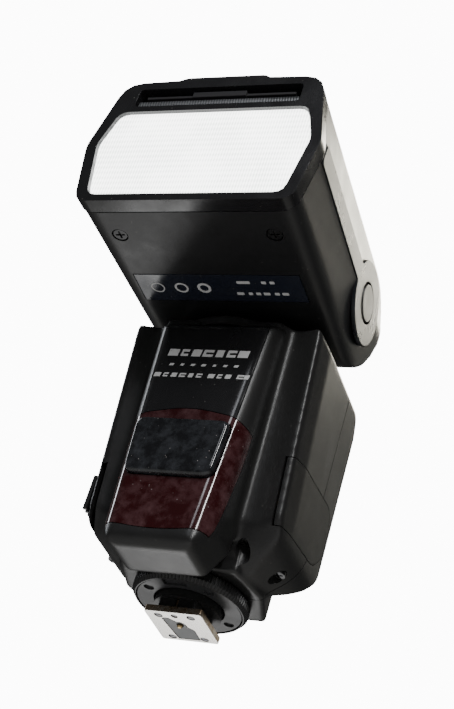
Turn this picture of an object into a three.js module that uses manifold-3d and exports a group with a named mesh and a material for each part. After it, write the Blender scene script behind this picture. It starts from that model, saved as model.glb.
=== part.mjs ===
// A shoe-mount electronic flash with a tilting, panning zoom head.
// Millimetres. +Z is up, the head and the foot's front face -Y, and the terminal side is +X.
// The origin is the centre of the foot's underside.

import * as THREE from "three";
import { mergeVertices } from "three/addons/utils/BufferGeometryUtils.js";
import Module from "manifold-3d";

const wasm = await Module();
wasm.setup();

// ---- Driving dimensions ----

const GAP = 0.3; // air between pieces that touch or slide
const WALL = 2.2; // thickness of the moulded shells

const FOOT = { halfWidth: 9.3, front: -9.9, back: 8.3, thick: 2.0 };
const FOOT_SCREW = { x: 5.3, front: -7.4, back: 6.1, radius: 1.05 };
const STEM = { halfWidth: 6.1, front: -8.6, back: 7.0, neckRadius: 10.6, shoulderZ: 5.4, top: 18 };
const CONTACT = { y: -2.0, radius: 0.9, stickOut: 0.9 };
const PIN = { y: -7.6, radius: 0.8 };
const RING = { radius: 18.3, bottom: 7.35, top: 11.8, teeth: 54, toothDepth: 0.45, bore: 11.2, pocket: 16.8 };

const BODY = {
  halfWidth: 33,
  shoulderX: 31.2,
  shoulderY: -32.6,
  back: 17.4,
  shoulderZ: 90,
  frontTop: 89.8,
  crown: 90.4,
  bottom: 12.8,
  seam: 0.6,
  lean: 0.144, // how far the front corner moves back for each millimetre down
  narrowing: 0.05, // how far the nose's foot moves in for each millimetre down
};
const CAVITY = { bottom: 24.5, top: 85 };
const NOSE = {
  front: -39.2,
  back: -20.8,
  frontHalfTop: 17.9,
  frontHalfBottom: 13.4,
  sideHalfTop: 21,
  sideHalfBottom: 17.4,
  rollDepth: 4.6,
  top: 86.4,
  bottom: 6.3,
};
const PANEL = { halfTop: 17.4, halfBottom: 13.0, thick: 1.6 };
const RED = { top: 51.2, topRise: 2.6, bottom: 12.6, bottomDrop: 1.4, thick: 1.7 };
const SENSOR = { halfTop: 15.4, halfBottom: 14.2, top: 48.6, bottom: 29.2, corner: 3.6, stand: 2.0 };
const PORT_COVER = { depth: 2.3, floor: 28.7 };
const PORTS = { wall: 25.8, z: 36, syncY: -18, syncRadius: 3.6 };
const POWER_PORT = { front: -6.5, back: 4.5, halfHeight: 4.4 };
const DOOR = { front: -25, back: 8.4, bottom: 20, top: 84, depth: 2.2, rib: 0.8, ribPitch: 1.8, ribs: 5 };

const PAN_Y = -12;
const TURNTABLE = { radius: 24.7, bottom: 87.7, top: 91.6, hub: 8.6, hubBottom: 83.6 };
const PIVOT = { y: PAN_Y, z: 116.4 };
const DRUM = { radius: 20.4, halfWidth: 17.3, slotHalf: 17.8, slotFront: -20.5, slotTop: 125.6 };

const HEAD = {
  front: -85.6,
  shellFront: -80,
  bottom: 95.2,
  rearRadius: 21.2,
  kinkX: 38.7,
  kinkZ: 118.3,
  topX: 33.2,
  topZ: 145.2,
  crown: 146.2,
  bottomX: 35,
  taper: 0.00102, // share of the width lost for each millimetre towards the rear
};
const WINDOW = { bottom: 97.8, top: 132.6, halfBottom: 31.6, halfKink: 35.2, halfTop: 31.4, kinkZ: 119 };
const SLOT = { half: 27.5, bottom: 134.9, top: 142.4 };
const WIDE_PANEL = { half: 26.8, bottom: 135.6, thick: 2.2, back: -34 };
const CARD = { half: 25.0, bottom: 139.4, thick: 1.0, back: -36 };
const TRIM = { front: -79.4, bottom: 114.9, top: 122.6, boss: 14.2, cap: 6.7, thick: 1.7 };
const REFLECTOR = { front: -79.6, back: -61.5, halfWidth: 29, bottom: 100, top: 131 };
const TUBE = { radius: 2.4, inset: 6 };
const CARRIAGE = { front: -61.2, back: -57.2, halfWidth: 27, low: 98.4, high: 135.3 };
const ZOOM = {
  rodX: 17,
  screwX: 23.6,
  z: 133.3,
  rodRadius: 1,
  screwRadius: 1.5,
  rodEnd: -31.6,
  screwEnd: -30.4,
  ribFront: -33.2,
  ribBack: -30.8,
  ribBottom: 130.6,
  motorRadius: 4.8,
  motorLength: 15,
};
const LABEL = { half: 27.8, front: -51.2, back: -38.6 };
const SCREW = { head: 2.3, shank: 1.1, slotHalf: 1.5, slotWide: 0.3, slotDeep: 0.6 };
const HEAD_SCREW = { x: 25.4, y: -69.8, z: 95.4, length: 3.8 };

const DISPLAY = { half: 23, bottom: 60, top: 81 };
const KEY_ROW = { z: 53.5, pitch: 11.2, halfWidth: 4.3, halfHeight: 2.1 };
const PAD = { z: 40.2, radius: 8.6, ok: 3.9 };
const SIDE_BUTTON = { x: 21.5, z: 38, radius: 3.8 };
const BUTTON = { proud: 1.0, backset: 13.4 };

// ---- Solids ----

// A closed geometry as a manifold-3d solid.
function solid(geometry) {
  geometry.deleteAttribute("normal");
  geometry.deleteAttribute("uv");
  const merged = mergeVertices(geometry, 1e-4);
  const mesh = new wasm.Mesh({
    numProp: 3,
    vertProperties: merged.attributes.position.array,
    triVerts: new Uint32Array(merged.index.array),
  });
  return new wasm.Manifold(mesh);
}

// A manifold-3d solid as a geometry with flat faces.
function geometryOf(shape) {
  const mesh = shape.getMesh();
  const geometry = new THREE.BufferGeometry();
  geometry.setAttribute("position", new THREE.BufferAttribute(mesh.vertProperties, 3));
  geometry.setIndex(new THREE.BufferAttribute(mesh.triVerts, 1));
  geometry.computeVertexNormals();
  return geometry;
}

const join = (first, ...others) => others.reduce((sum, other) => sum.add(other), first);
const cut = (first, ...others) => others.reduce((rest, other) => rest.subtract(other), first);
const meet = (first, ...others) => others.reduce((common, other) => common.intersect(other), first);

// A closed outline through [a, b, radius] corners; the radius is optional.
function outline(corners) {
  const shape = new THREE.Shape();
  const count = corners.length;
  corners.forEach(([a, b, radius = 0], i) => {
    const here = new THREE.Vector2(a, b);
    const before = new THREE.Vector2(...corners[(i + count - 1) % count].slice(0, 2));
    const after = new THREE.Vector2(...corners[(i + 1) % count].slice(0, 2));
    const reach = Math.min(radius, 0.48 * here.distanceTo(before), 0.48 * here.distanceTo(after));
    const enter = here.clone().add(before.sub(here).setLength(reach));
    const leave = here.clone().add(after.sub(here).setLength(reach));
    if (i === 0) shape.moveTo(enter.x, enter.y);
    else shape.lineTo(enter.x, enter.y);
    if (radius > 0) shape.quadraticCurveTo(here.x, here.y, leave.x, leave.y);
  });
  return shape;
}

// The corners of the +X half, followed by their mirror images.
const bothSides = (corners) => [...corners, ...corners.toReversed().map(([a, b, r]) => [-a, b, r])];

const rectangle = (a0, b0, a1, b1, r = 0) => [[a0, b0, r], [a1, b0, r], [a1, b1, r], [a0, b1, r]];

// Sends an outline's own x and y to Y and Z, and the extrusion to X.
const TO_SIDE_VIEW = new THREE.Matrix4().set(0, 0, 1, 0, 1, 0, 0, 0, 0, 1, 0, 0, 0, 0, 0, 1);

// An outline extruded along x (outline in Y, Z), y (outline in X, Z) or z (outline in X, Y).
// reshape, if given, moves each vertex.
function prism(axis, corners, from, to, reshape = null, curveSegments = 3) {
  const options = { depth: to - from, bevelEnabled: false, curveSegments };
  const geometry = new THREE.ExtrudeGeometry(outline(corners), options);
  if (axis === "z") geometry.translate(0, 0, from);
  if (axis === "y") geometry.translate(0, 0, -to).rotateX(Math.PI / 2);
  if (axis === "x") geometry.translate(0, 0, from).applyMatrix4(TO_SIDE_VIEW);
  if (reshape) {
    const places = geometry.attributes.position;
    const point = new THREE.Vector3();
    for (let i = 0; i < places.count; i += 1) {
      point.fromBufferAttribute(places, i);
      reshape(point);
      places.setXYZ(i, point.x, point.y, point.z);
    }
  }
  return solid(geometry);
}

// A cylinder or cone along an axis, centred on the other two coordinates.
function rod(axis, radius, from, to, centre = [0, 0], segments = 20, endRadius = radius) {
  const geometry = new THREE.CylinderGeometry(endRadius, radius, to - from, segments);
  geometry.translate(0, (from + to) / 2, 0);
  if (axis === "z") geometry.rotateX(Math.PI / 2).translate(centre[0], centre[1], 0);
  if (axis === "x") geometry.rotateZ(-Math.PI / 2).translate(0, centre[0], centre[1]);
  if (axis === "y") geometry.translate(centre[0], 0, centre[1]);
  return solid(geometry);
}

function box(low, high) {
  const geometry = new THREE.BoxGeometry(high[0] - low[0], high[1] - low[1], high[2] - low[2]);
  geometry.translate((low[0] + high[0]) / 2, (low[1] + high[1]) / 2, (low[2] + high[2]) / 2);
  return solid(geometry);
}

// A tube with square ends.
const pipe = (axis, outer, inner, from, to, centre, segments = 20) =>
  cut(rod(axis, outer, from, to, centre, segments), rod(axis, inner, from - 1, to + 1, centre, segments));

// ---- Materials ----

const paint = (color, roughness, metalness = 0) =>
  new THREE.MeshStandardMaterial({ color, roughness, metalness });

const FINISH = {
  shell: paint(0x1d1d1e, 0.5),
  gloss: paint(0x0d0d0f, 0.15),
  trim: paint(0x3b3e42, 0.55),
  rubber: paint(0x262728, 0.8),
  red: paint(0x6a1018, 0.15),
  clear: paint(0xf2f4f4, 0.2),
  plate: paint(0xcfcac0, 0.3, 0.9),
  steel: paint(0x8d9094, 0.35, 0.9),
  brass: paint(0xb08a4a, 0.35, 0.9),
  grey: paint(0x6b6d70, 0.5),
  label: paint(0x14161c, 0.2),
  white: paint(0xe8e8e4, 0.5),
  mirror: paint(0xdfe2e4, 0.1, 1),
  board: paint(0x1f5a34, 0.5),
};

const flash = new THREE.Group();

function add(name, shape, finish) {
  const mesh = new THREE.Mesh(geometryOf(shape), finish);
  mesh.name = name;
  flash.add(mesh);
}

// ---- Foot and lock ----

const FOOT_SCREWS = {
  foot_screw_front_left: [-FOOT_SCREW.x, FOOT_SCREW.front],
  foot_screw_front_right: [FOOT_SCREW.x, FOOT_SCREW.front],
  foot_screw_back_left: [-FOOT_SCREW.x, FOOT_SCREW.back],
  foot_screw_back_right: [FOOT_SCREW.x, FOOT_SCREW.back],
};

// The insert's outline, grown by the given margin.
const insertCorners = (margin) => [
  [-4.6 - margin, -5.6 - margin, 0.5],
  [-2.9 + margin, -6.0 - margin, 0.5],
  [3.6 + margin, 0.9 - margin, 0.5],
  [3.5 + margin, 6.6 + margin, 0.5],
  [-3.3 - margin, 6.8 + margin, 0.5],
];

function buildFoot() {
  const plateCorners = rectangle(-FOOT.halfWidth, FOOT.front, FOOT.halfWidth, FOOT.back, 0.9);
  let plate = prism("z", plateCorners, 0, FOOT.thick);
  plate = cut(
    plate,
    prism("z", insertCorners(GAP), -1, 0.9),
    rod("z", 2.2, -1, 3, [0, CONTACT.y], 24),
    rod("z", PIN.radius + GAP, -1, 3, [0, PIN.y], 16),
  );
  for (const [name, centre] of Object.entries(FOOT_SCREWS)) {
    const [x, y] = centre;
    plate = cut(plate, rod("z", FOOT_SCREW.radius + GAP, -1, 3, centre, 16));
    const slot = box([x - 2, y - 0.15, -0.5], [x + 2, y + 0.15, 0.45]);
    add(name, cut(rod("z", FOOT_SCREW.radius, 0.12, 1.9, centre, 16), slot), FINISH.steel);
  }
  add("foot_plate", plate, FINISH.plate);

  const boss = rod("z", 1.9, 0.05, 1.9, [0, CONTACT.y], 24);
  const seat = cut(
    join(prism("z", insertCorners(0), 0.05, 0.6), boss),
    rod("z", CONTACT.radius + GAP, -1, 3, [0, CONTACT.y], 24),
  );
  add("foot_insert", seat, FINISH.grey);

  const stem = cut(
    join(
      prism("z", rectangle(-STEM.halfWidth, STEM.front, STEM.halfWidth, STEM.back, 1), 2.3, STEM.shoulderZ),
      rod("z", STEM.neckRadius, STEM.shoulderZ - 0.1, STEM.top, [0, 0], 28),
    ),
    rod("z", CONTACT.radius + GAP, 2, 6, [0, CONTACT.y], 24),
    rod("z", PIN.radius + GAP, 2, 7, [0, PIN.y], 16),
  );
  add("foot_stem", stem, FINISH.shell);

  const tip = rod("z", 0.5, -CONTACT.stickOut, -CONTACT.stickOut + 0.4, [0, CONTACT.y], 24, CONTACT.radius);
  const shank = rod("z", CONTACT.radius, -CONTACT.stickOut + 0.4, 4.4, [0, CONTACT.y], 24);
  add("centre_contact", join(tip, shank), FINISH.brass);
  add("lock_pin", rod("z", PIN.radius, 0.3, 5.2, [0, PIN.y], 16), FINISH.steel);
}

// The knurled ring's plan: a toothed circle.
function toothedCorners() {
  const corners = [];
  for (let i = 0; i < RING.teeth * 2; i += 1) {
    const angle = (Math.PI * i) / RING.teeth;
    const radius = i % 2 ? RING.radius : RING.radius - RING.toothDepth;
    corners.push([radius * Math.cos(angle), radius * Math.sin(angle)]);
  }
  return corners;
}

function buildLock() {
  const ring = cut(
    prism("z", toothedCorners(), RING.bottom, RING.top),
    rod("z", RING.bore, RING.bottom - 1, RING.top + 1, [0, 0], 32),
    rod("z", RING.pocket, RING.bottom - 1, 9.9, [0, 0], 32),
  );
  add("lock_ring", ring, FINISH.shell);

  let plate = pipe("z", RING.pocket - GAP, RING.bore, RING.bottom + 0.2, 9.6, [0, 0], 32);
  for (let i = 0; i < 4; i += 1) {
    const angle = Math.PI / 4 + (Math.PI / 2) * i;
    const pocket = rod("z", 1.6, 5, 8.3, [14 * Math.cos(angle), 14 * Math.sin(angle)], 12);
    plate = cut(plate, pocket);
  }
  plate = cut(plate, box([-3.6, -17, 5], [3.6, -12.6, 8.4]), box([-3.6, 12.6, 5], [3.6, 17, 8.4]));
  add("clamp_plate", plate, FINISH.grey);
}

// ---- Body ----

// The body's front leans back and its nose narrows on the way down.
function lean(point) {
  if (point.y > -20) return;
  const drop = BODY.shoulderZ - point.z;
  const side = Math.abs(point.x);
  if (side > 1 && side < 25) point.x -= Math.sign(point.x) * BODY.narrowing * drop;
  point.y += BODY.lean * drop;
}

const bodyPlan = bothSides([
  [19, -36],
  [22.6, -31, 4],
  [BODY.shoulderX, BODY.shoulderY, 1.4],
  [BODY.halfWidth, -24],
  [BODY.halfWidth, 11.5],
  [32, 16.2, 3],
  [24, BODY.back, 4],
]);

const bodyCavityPlan = bothSides([
  [16, -28.6],
  [29.2, -28.6],
  [BODY.halfWidth - WALL, -22],
  [BODY.halfWidth - WALL, 4.4],
  [28.9, 12.4],
  [22, BODY.back - WALL],
]);

const bodyCavityProfile = [
  [-40, CAVITY.bottom],
  [8, CAVITY.bottom],
  [BODY.back - WALL, 32],
  [BODY.back - WALL, 78],
  [9, CAVITY.top],
  [-40, CAVITY.top],
];

const bodyCavityFront = bothSides([
  [24, CAVITY.bottom],
  [BODY.halfWidth - WALL, 30],
  [BODY.halfWidth - WALL, CAVITY.top],
]);

const bodyProfile = [
  [-42, 30],
  [-24, 28, 3],
  [-17.5, 17, 4],
  [-11, BODY.bottom, 3],
  [-4, BODY.bottom, 2],
  [1, 13.4, 2],
  [9, 19.4, 4],
  [BODY.back, 31, 5],
  [BODY.back, 79, 6],
  [9, BODY.crown, 6],
  [-4, BODY.crown, 6],
  [-42, BODY.frontTop],
];

const bodyFrontView = bothSides([
  [21, BODY.bottom, 3],
  [BODY.halfWidth, 22, 7],
  [BODY.halfWidth, BODY.crown - 3],
  [BODY.halfWidth - 2.4, BODY.crown],
]);

// Half-width of one of the nose's faces at a height, from its half-widths at the top and the bottom.
const noseHalf = (z, top, bottom) => bottom + ((top - bottom) * (z - NOSE.bottom)) / (NOSE.top - NOSE.bottom);

// A column with the nose's plan, inset by the given margin; its front face narrows fastest downwards.
function noseColumn(margin, low, high) {
  const front = NOSE.front + margin;
  const plan = bothSides([
    [NOSE.frontHalfTop - 0.5 * margin, front, 3],
    [NOSE.sideHalfTop - margin, front + NOSE.rollDepth, 3],
    [NOSE.sideHalfTop - margin, NOSE.back],
  ]);
  const narrow = (point) => {
    const face = noseHalf(point.z, NOSE.frontHalfTop, NOSE.frontHalfBottom) / NOSE.frontHalfTop;
    const side = noseHalf(point.z, NOSE.sideHalfTop, NOSE.sideHalfBottom) / NOSE.sideHalfTop;
    const nearness = Math.max(0, 1 - (point.y - front) / NOSE.rollDepth);
    point.x *= side + (face - side) * nearness;
  };
  return prism("z", plan, low, high, narrow);
}

const redTop = [
  [-22, RED.top - 4],
  [-16, RED.top - 0.6, 3],
  [0, RED.top + RED.topRise, 8],
  [16, RED.top - 0.6, 3],
  [22, RED.top - 4],
];
const redBottom = [
  [22, RED.bottom],
  [14, RED.bottom, 3],
  [0, RED.bottom - RED.bottomDrop, 8],
  [-14, RED.bottom, 3],
  [-22, RED.bottom],
];

// An outline's upper half raised and its lower half dropped by the margin.
const grown = (corners, margin, middle) =>
  corners.map(([a, b, r]) => [a, b + (b > middle ? margin : -margin), r]);

// The space that the red window fills, in front view and in side view.
function redSpace(margin) {
  const middle = (RED.top + RED.bottom) / 2;
  const frontView = grown([...redTop, ...redBottom], margin, middle);
  const sideView = [
    [-45, 8],
    [-35.4 + margin, 8],
    [-33.4 + margin, 20, 5],
    [-31.2 + margin, 40, 6],
    [-33.2 + margin, 58],
    [-45, 58],
  ];
  return meet(prism("y", frontView, -45, -25), prism("x", sideView, -25, 25));
}

const sensorCorners = (margin) =>
  bothSides([
    [SENSOR.halfBottom + margin, SENSOR.bottom - margin, SENSOR.corner],
    [SENSOR.halfTop + margin, SENSOR.top + margin, SENSOR.corner],
  ]);

// The front panel that carries the marking, above the red window.
const panelCorners = (margin) => {
  const low = RED.top - 5;
  const high = NOSE.top - 1.2;
  const half = (z) => noseHalf(z, PANEL.halfTop, PANEL.halfBottom) + margin;
  return bothSides([
    [half(low), low - margin],
    [half(high), high + margin, 1],
  ]);
};

const coverCorners = (margin) => [
  [-29.6 - margin, 24.5 - margin, 2],
  [6, 28 - margin, 3],
  [11.6 + margin, 34, 3],
  [11.8 + margin, 45, 3],
  [8, 49.6 + margin, 3],
  [-26, 46.8 + margin, 2],
  [-29.6 - margin, 42.5, 2],
];

const powerCorners = (margin) =>
  rectangle(
    POWER_PORT.front - margin,
    PORTS.z - POWER_PORT.halfHeight - margin,
    POWER_PORT.back + margin,
    PORTS.z + POWER_PORT.halfHeight + margin,
    1.5,
  );

const doorCorners = (margin) =>
  rectangle(DOOR.front - margin, DOOR.bottom - margin, DOOR.back + margin, DOOR.top + margin, 2);

// The body's outside, with no openings.
function bodyOutside() {
  const high = BODY.crown + 1;
  const base = meet(
    prism("z", bodyPlan, 6, high, lean),
    prism("x", bodyProfile, -40, 40),
    prism("y", bodyFrontView, -45, 25),
  );
  const noseProfile = [
    [NOSE.back, NOSE.bottom],
    [NOSE.back, NOSE.top + 2.4],
    [NOSE.front + 1.6, NOSE.top, 0.8],
    [NOSE.front, NOSE.top - 2, 1],
    [NOSE.front, NOSE.bottom + 1.5, 0.8],
    [NOSE.front + 1.2, NOSE.bottom, 0.8],
  ];
  const noseFrontView = bothSides([
    [12.6, NOSE.bottom, 2],
    [17.4, 14, 3],
    [23, 24],
    [23, BODY.crown],
  ]);
  const nose = meet(
    noseColumn(0, NOSE.bottom - 1, BODY.crown),
    prism("x", noseProfile, -30, 30),
    prism("y", noseFrontView, -45, 0),
  );
  const collar = meet(rod("z", 19, 12.1, 18, [0, 0], 32, 22), box([-30, -30, 0], [30, BODY.back - 0.6, 40]));
  return join(base, nose, collar);
}

// Each screw's place across the body and the height of its head's underside.
const BODY_SCREWS = {
  body_screw_front_left: [-20.2, -17.6, 21],
  body_screw_front_right: [20.2, -17.6, 21],
  body_screw_back_left: [-27.2, -4.2, 18.4],
  body_screw_back_right: [27.2, -4.2, 18.4],
};

// A pan-head screw standing head down, with a cross recess.
function crossScrew([x, y], headZ, headThick, length) {
  const { head, shank, slotHalf, slotWide, slotDeep } = SCREW;
  const recess = join(
    box([x - slotHalf, y - slotWide, headZ - 1], [x + slotHalf, y + slotWide, headZ + slotDeep]),
    box([x - slotWide, y - slotHalf, headZ - 1], [x + slotWide, y + slotHalf, headZ + slotDeep]),
  );
  const disc = rod("z", head, headZ, headZ + headThick, [x, y], 14);
  return cut(join(disc, rod("z", shank, headZ + headThick - 0.4, headZ + length, [x, y], 8)), recess);
}

// The counterbore and shank hole for such a screw, open downwards from a height.
const screwHole = ([x, y], from, seat, end) =>
  join(rod("z", SCREW.head + 0.4, from, seat, [x, y], 14), rod("z", SCREW.shank + 0.4, from, end, [x, y], 8));

function buildBody() {
  const outside = bodyOutside();
  const space = join(
    meet(
      prism("z", bodyCavityPlan, CAVITY.bottom, CAVITY.top, lean),
      prism("x", bodyCavityProfile, -40, 40),
      prism("y", bodyCavityFront, -45, 25),
    ),
    noseColumn(WALL + 1.7, CAVITY.bottom, 82),
    rod("z", STEM.neckRadius + GAP, 5, 30, [0, 0], 28),
  );
  const portBlock = meet(outside, box([PORTS.wall, -31, 21], [BODY.halfWidth + 1, 13, 53]));
  let hollow = cut(
    join(cut(outside, space), portBlock),
    rod("x", PORTS.syncRadius + GAP, 20, 40, [PORTS.syncY, PORTS.z], 24),
    prism("x", powerCorners(GAP), 20, 40),
    cut(redSpace(GAP), noseColumn(RED.thick + GAP, 0, 95)),
    prism("y", panelCorners(GAP), -45, NOSE.front + PANEL.thick + GAP),
    prism("y", sensorCorners(GAP), -45, NOSE.front + 3.2),
    rod("z", TURNTABLE.radius + 0.4, TURNTABLE.bottom - GAP, 100, [0, PAN_Y], 32),
    rod("z", TURNTABLE.hub + GAP, 84, 90, [0, PAN_Y], 28),
    prism("x", coverCorners(GAP), PORT_COVER.floor, 40),
    prism("x", doorCorners(GAP), -40, -BODY.halfWidth + 4),
  );
  for (const [name, [x, y, headZ]] of Object.entries(BODY_SCREWS)) {
    hollow = cut(hollow, screwHole([x, y], 8, headZ + 2, headZ + 6.1));
    add(name, crossScrew([x, y], headZ, 1.6, 5.8), FINISH.steel);
  }
  const frontHalf = box([-50, -60, 0], [50, BODY.seam - GAP / 2, 110]);
  const rearHalf = box([-50, BODY.seam + GAP / 2, 0], [50, 60, 110]);
  const rear = cut(meet(hollow, rearHalf), ...controlOpenings());
  add("body_front_shell", largest(meet(hollow, frontHalf)), FINISH.shell);
  add("body_rear_shell", largest(rear), FINISH.shell);

  const skin = cut(outside, noseColumn(RED.thick, 0, 95));
  const red = cut(meet(redSpace(0), skin), prism("y", sensorCorners(GAP), -50, -20));
  add("red_window", largest(red), FINISH.red);
  add("nose_panel", largest(nosePanel(outside)), FINISH.gloss);
  add("sensor_window", sensorWindow(), FINISH.gloss);
  add("terminal_cover", terminalCover(outside), FINISH.rubber);
  add("battery_door", batteryDoor(outside), FINISH.shell);
}

// The biggest separate body of a solid.
function largest(shape) {
  return shape.decompose().sort((a, b) => b.volume() - a.volume())[0];
}

function nosePanel(outside) {
  const slab = prism("y", panelCorners(0), NOSE.front - 1, NOSE.front + PANEL.thick);
  return cut(meet(slab, outside), redSpace(GAP));
}

function sensorWindow() {
  const back = prism("y", sensorCorners(0), NOSE.front - SENSOR.stand + 0.9, NOSE.front + 2.8);
  const face = prism("y", sensorCorners(-0.9), NOSE.front - SENSOR.stand, NOSE.front + 1);
  return join(back, face);
}

function terminalCover(outside) {
  return meet(outside, prism("x", coverCorners(0), BODY.halfWidth - PORT_COVER.depth - 1.2, 40));
}

function batteryDoor(outside) {
  let door = meet(outside, prism("x", doorCorners(0), -40, -BODY.halfWidth + DOOR.depth));
  for (let i = 0; i < DOOR.ribs; i += 1) {
    const y = DOOR.front + 3 + i * DOOR.ribPitch;
    door = cut(door, box([-BODY.halfWidth - 1, y, 23], [-BODY.halfWidth + 0.6, y + DOOR.rib, 36]));
  }
  return door;
}

// ---- Rear controls ----

const KEYS = [0, 1, 2, 3].map((i) => ({ name: `function_key_${i + 1}`, x: (i - 1.5) * KEY_ROW.pitch }));

const keyCorners = (x, margin) =>
  rectangle(
    x - KEY_ROW.halfWidth - margin,
    KEY_ROW.z - KEY_ROW.halfHeight - margin,
    x + KEY_ROW.halfWidth + margin,
    KEY_ROW.z + KEY_ROW.halfHeight + margin,
    1.2,
  );

const displayCorners = (margin) => {
  const half = DISPLAY.half + margin;
  return rectangle(-half, DISPLAY.bottom - margin, half, DISPLAY.top + margin, 1.5);
};

function controlOpenings() {
  return [
    prism("y", displayCorners(GAP), 10, 25),
    ...KEYS.map((key) => prism("y", keyCorners(key.x, GAP), 10, 25)),
    rod("y", PAD.radius + GAP, 10, 25, [0, PAD.z], 28),
    rod("y", SIDE_BUTTON.radius + GAP, 10, 25, [-SIDE_BUTTON.x, SIDE_BUTTON.z], 24),
    rod("y", SIDE_BUTTON.radius + GAP, 10, 25, [SIDE_BUTTON.x, SIDE_BUTTON.z], 24),
  ];
}

function buildControls() {
  const face = BODY.back + BUTTON.proud;
  for (const key of KEYS) {
    add(key.name, prism("y", keyCorners(key.x, 0), BUTTON.backset, face), FINISH.rubber);
  }
  const pad = pipe("y", PAD.radius, PAD.ok + GAP, BUTTON.backset, face, [0, PAD.z], 28);
  add("selector_pad", pad, FINISH.rubber);
  add("ok_button", rod("y", PAD.ok, BUTTON.backset, face + 0.2, [0, PAD.z], 28), FINISH.trim);
  const left = [-SIDE_BUTTON.x, SIDE_BUTTON.z];
  const right = [SIDE_BUTTON.x, SIDE_BUTTON.z];
  add("pilot_button", rod("y", SIDE_BUTTON.radius, BUTTON.backset, face, left, 24), FINISH.clear);
  add("power_button", rod("y", SIDE_BUTTON.radius, BUTTON.backset, face, right, 24), FINISH.rubber);
  add("display_window", prism("y", displayCorners(0), BODY.back - 1.4, BODY.back - 0.1), FINISH.clear);
  const glass = box([-21.5, 12.6, 61.5], [21.5, 15.4, 79.5]);
  add("display_module", glass, FINISH.grey);
}

// ---- Inside the body ----

const BATTERY = { open: -28.9, wall: 0.9, front: -19, back: 11, bottom: 29.2, top: 82.2, thick: 1 };

function buildElectronics() {
  const outer = box([BATTERY.open, BATTERY.front, BATTERY.bottom], [BATTERY.wall, BATTERY.back, BATTERY.top]);
  const inner = box(
    [BATTERY.open - 5, BATTERY.front + BATTERY.thick, BATTERY.bottom + BATTERY.thick],
    [BATTERY.wall - BATTERY.thick, BATTERY.back - BATTERY.thick, BATTERY.top - BATTERY.thick],
  );
  add("battery_box", cut(outer, inner), FINISH.shell);
  add("main_capacitor", rod("z", 11.2, 30, 78, [13.5, -8], 28), FINISH.gloss);
  add("main_board", box([-27, 11.3, 33], [25.4, 12.3, 79]), FINISH.board);
  const floor = PORT_COVER.floor;
  const place = [PORTS.syncY, PORTS.z];
  const sync = cut(rod("x", PORTS.syncRadius, 25, floor + 0.5, place, 24), rod("x", 1.8, 26, 30, place, 16));
  add("sync_socket", sync, FINISH.brass);
  let power = prism("x", powerCorners(0), 25, floor + 0.2);
  for (const y of [-4, -1, 2]) power = cut(power, rod("x", 0.8, 26.8, 30, [y, PORTS.z], 12));
  add("power_socket", power, FINISH.shell);
}

// ---- Neck ----

function buildNeck() {
  const { y, z } = PIVOT;
  const table = join(
    rod("z", TURNTABLE.radius, TURNTABLE.bottom, TURNTABLE.top - 1, [0, PAN_Y], 32),
    rod("z", TURNTABLE.radius, TURNTABLE.top - 1, TURNTABLE.top, [0, PAN_Y], 32, TURNTABLE.radius - 1),
    rod("z", TURNTABLE.hub, TURNTABLE.hubBottom, TURNTABLE.bottom + 0.5, [0, PAN_Y], 28),
  );
  add("neck_turntable", table, FINISH.shell);
  const drum = rod("x", DRUM.radius, -DRUM.halfWidth, DRUM.halfWidth, [y, z], 32);
  const column = box([-DRUM.halfWidth, y - 4.9, TURNTABLE.top + GAP], [DRUM.halfWidth, y + 7.6, z]);
  const bore = rod("x", 3.3, -40, 40, [y, z], 20);
  add("neck_bracket", cut(join(drum, column), bore), FINISH.shell);
  add("tilt_axle", rod("x", 3, -32.4, 32.4, [y, z], 20), FINISH.steel);
}

// ---- Head ----

// The head narrows towards the rear.
const taper = (point) => {
  point.x *= 1 - HEAD.taper * (point.y - HEAD.front);
};

const headCorners = (inset) =>
  bothSides([
    [HEAD.bottomX - inset, HEAD.bottom + inset, 4],
    [HEAD.kinkX - inset, HEAD.kinkZ, 2],
    [HEAD.topX - inset, HEAD.topZ - inset, 6],
    [4, HEAD.crown - inset, 2],
  ]);

function headProfile(inset) {
  const corners = [[HEAD.front - 5, HEAD.bottom + inset]];
  const radius = HEAD.rearRadius - inset;
  for (let i = 0; i <= 8; i += 1) {
    const angle = -Math.PI / 2 + (Math.PI / 2) * (i / 8);
    corners.push([PIVOT.y + radius * Math.cos(angle), PIVOT.z + radius * Math.sin(angle)]);
  }
  corners.push([PIVOT.y + radius, 138 - inset, 8]);
  corners.push([-6, HEAD.crown - inset, 8], [HEAD.front - 5, HEAD.crown - inset]);
  return corners;
}

const headSolid = (inset, front, rear = 20) =>
  meet(prism("y", headCorners(inset), front, rear, taper), prism("x", headProfile(inset), -45, 45));

// Turns a solid made square to X so that it lies along the head's tapering side.
const TRIM_TURN = Math.atan(HEAD.kinkX * HEAD.taper);
function ontoSide(shape) {
  const geometry = geometryOf(shape);
  geometry.translate(-HEAD.kinkX, -HEAD.front, 0);
  geometry.rotateZ(TRIM_TURN);
  geometry.translate(HEAD.kinkX, HEAD.front, 0);
  return solid(geometry);
}

// The mirror image of a solid in the plane between left and right.
function mirrored(shape) {
  const geometry = geometryOf(shape);
  geometry.scale(-1, 1, 1);
  const index = geometry.index.array;
  for (let i = 0; i < index.length; i += 3) [index[i + 1], index[i + 2]] = [index[i + 2], index[i + 1]];
  return solid(geometry);
}

// The solid laid on the head's +X side, or its mirror image on the -X side.
const sideSolid = (shape, side) => (side > 0 ? ontoSide(shape) : mirrored(ontoSide(shape)));

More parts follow.
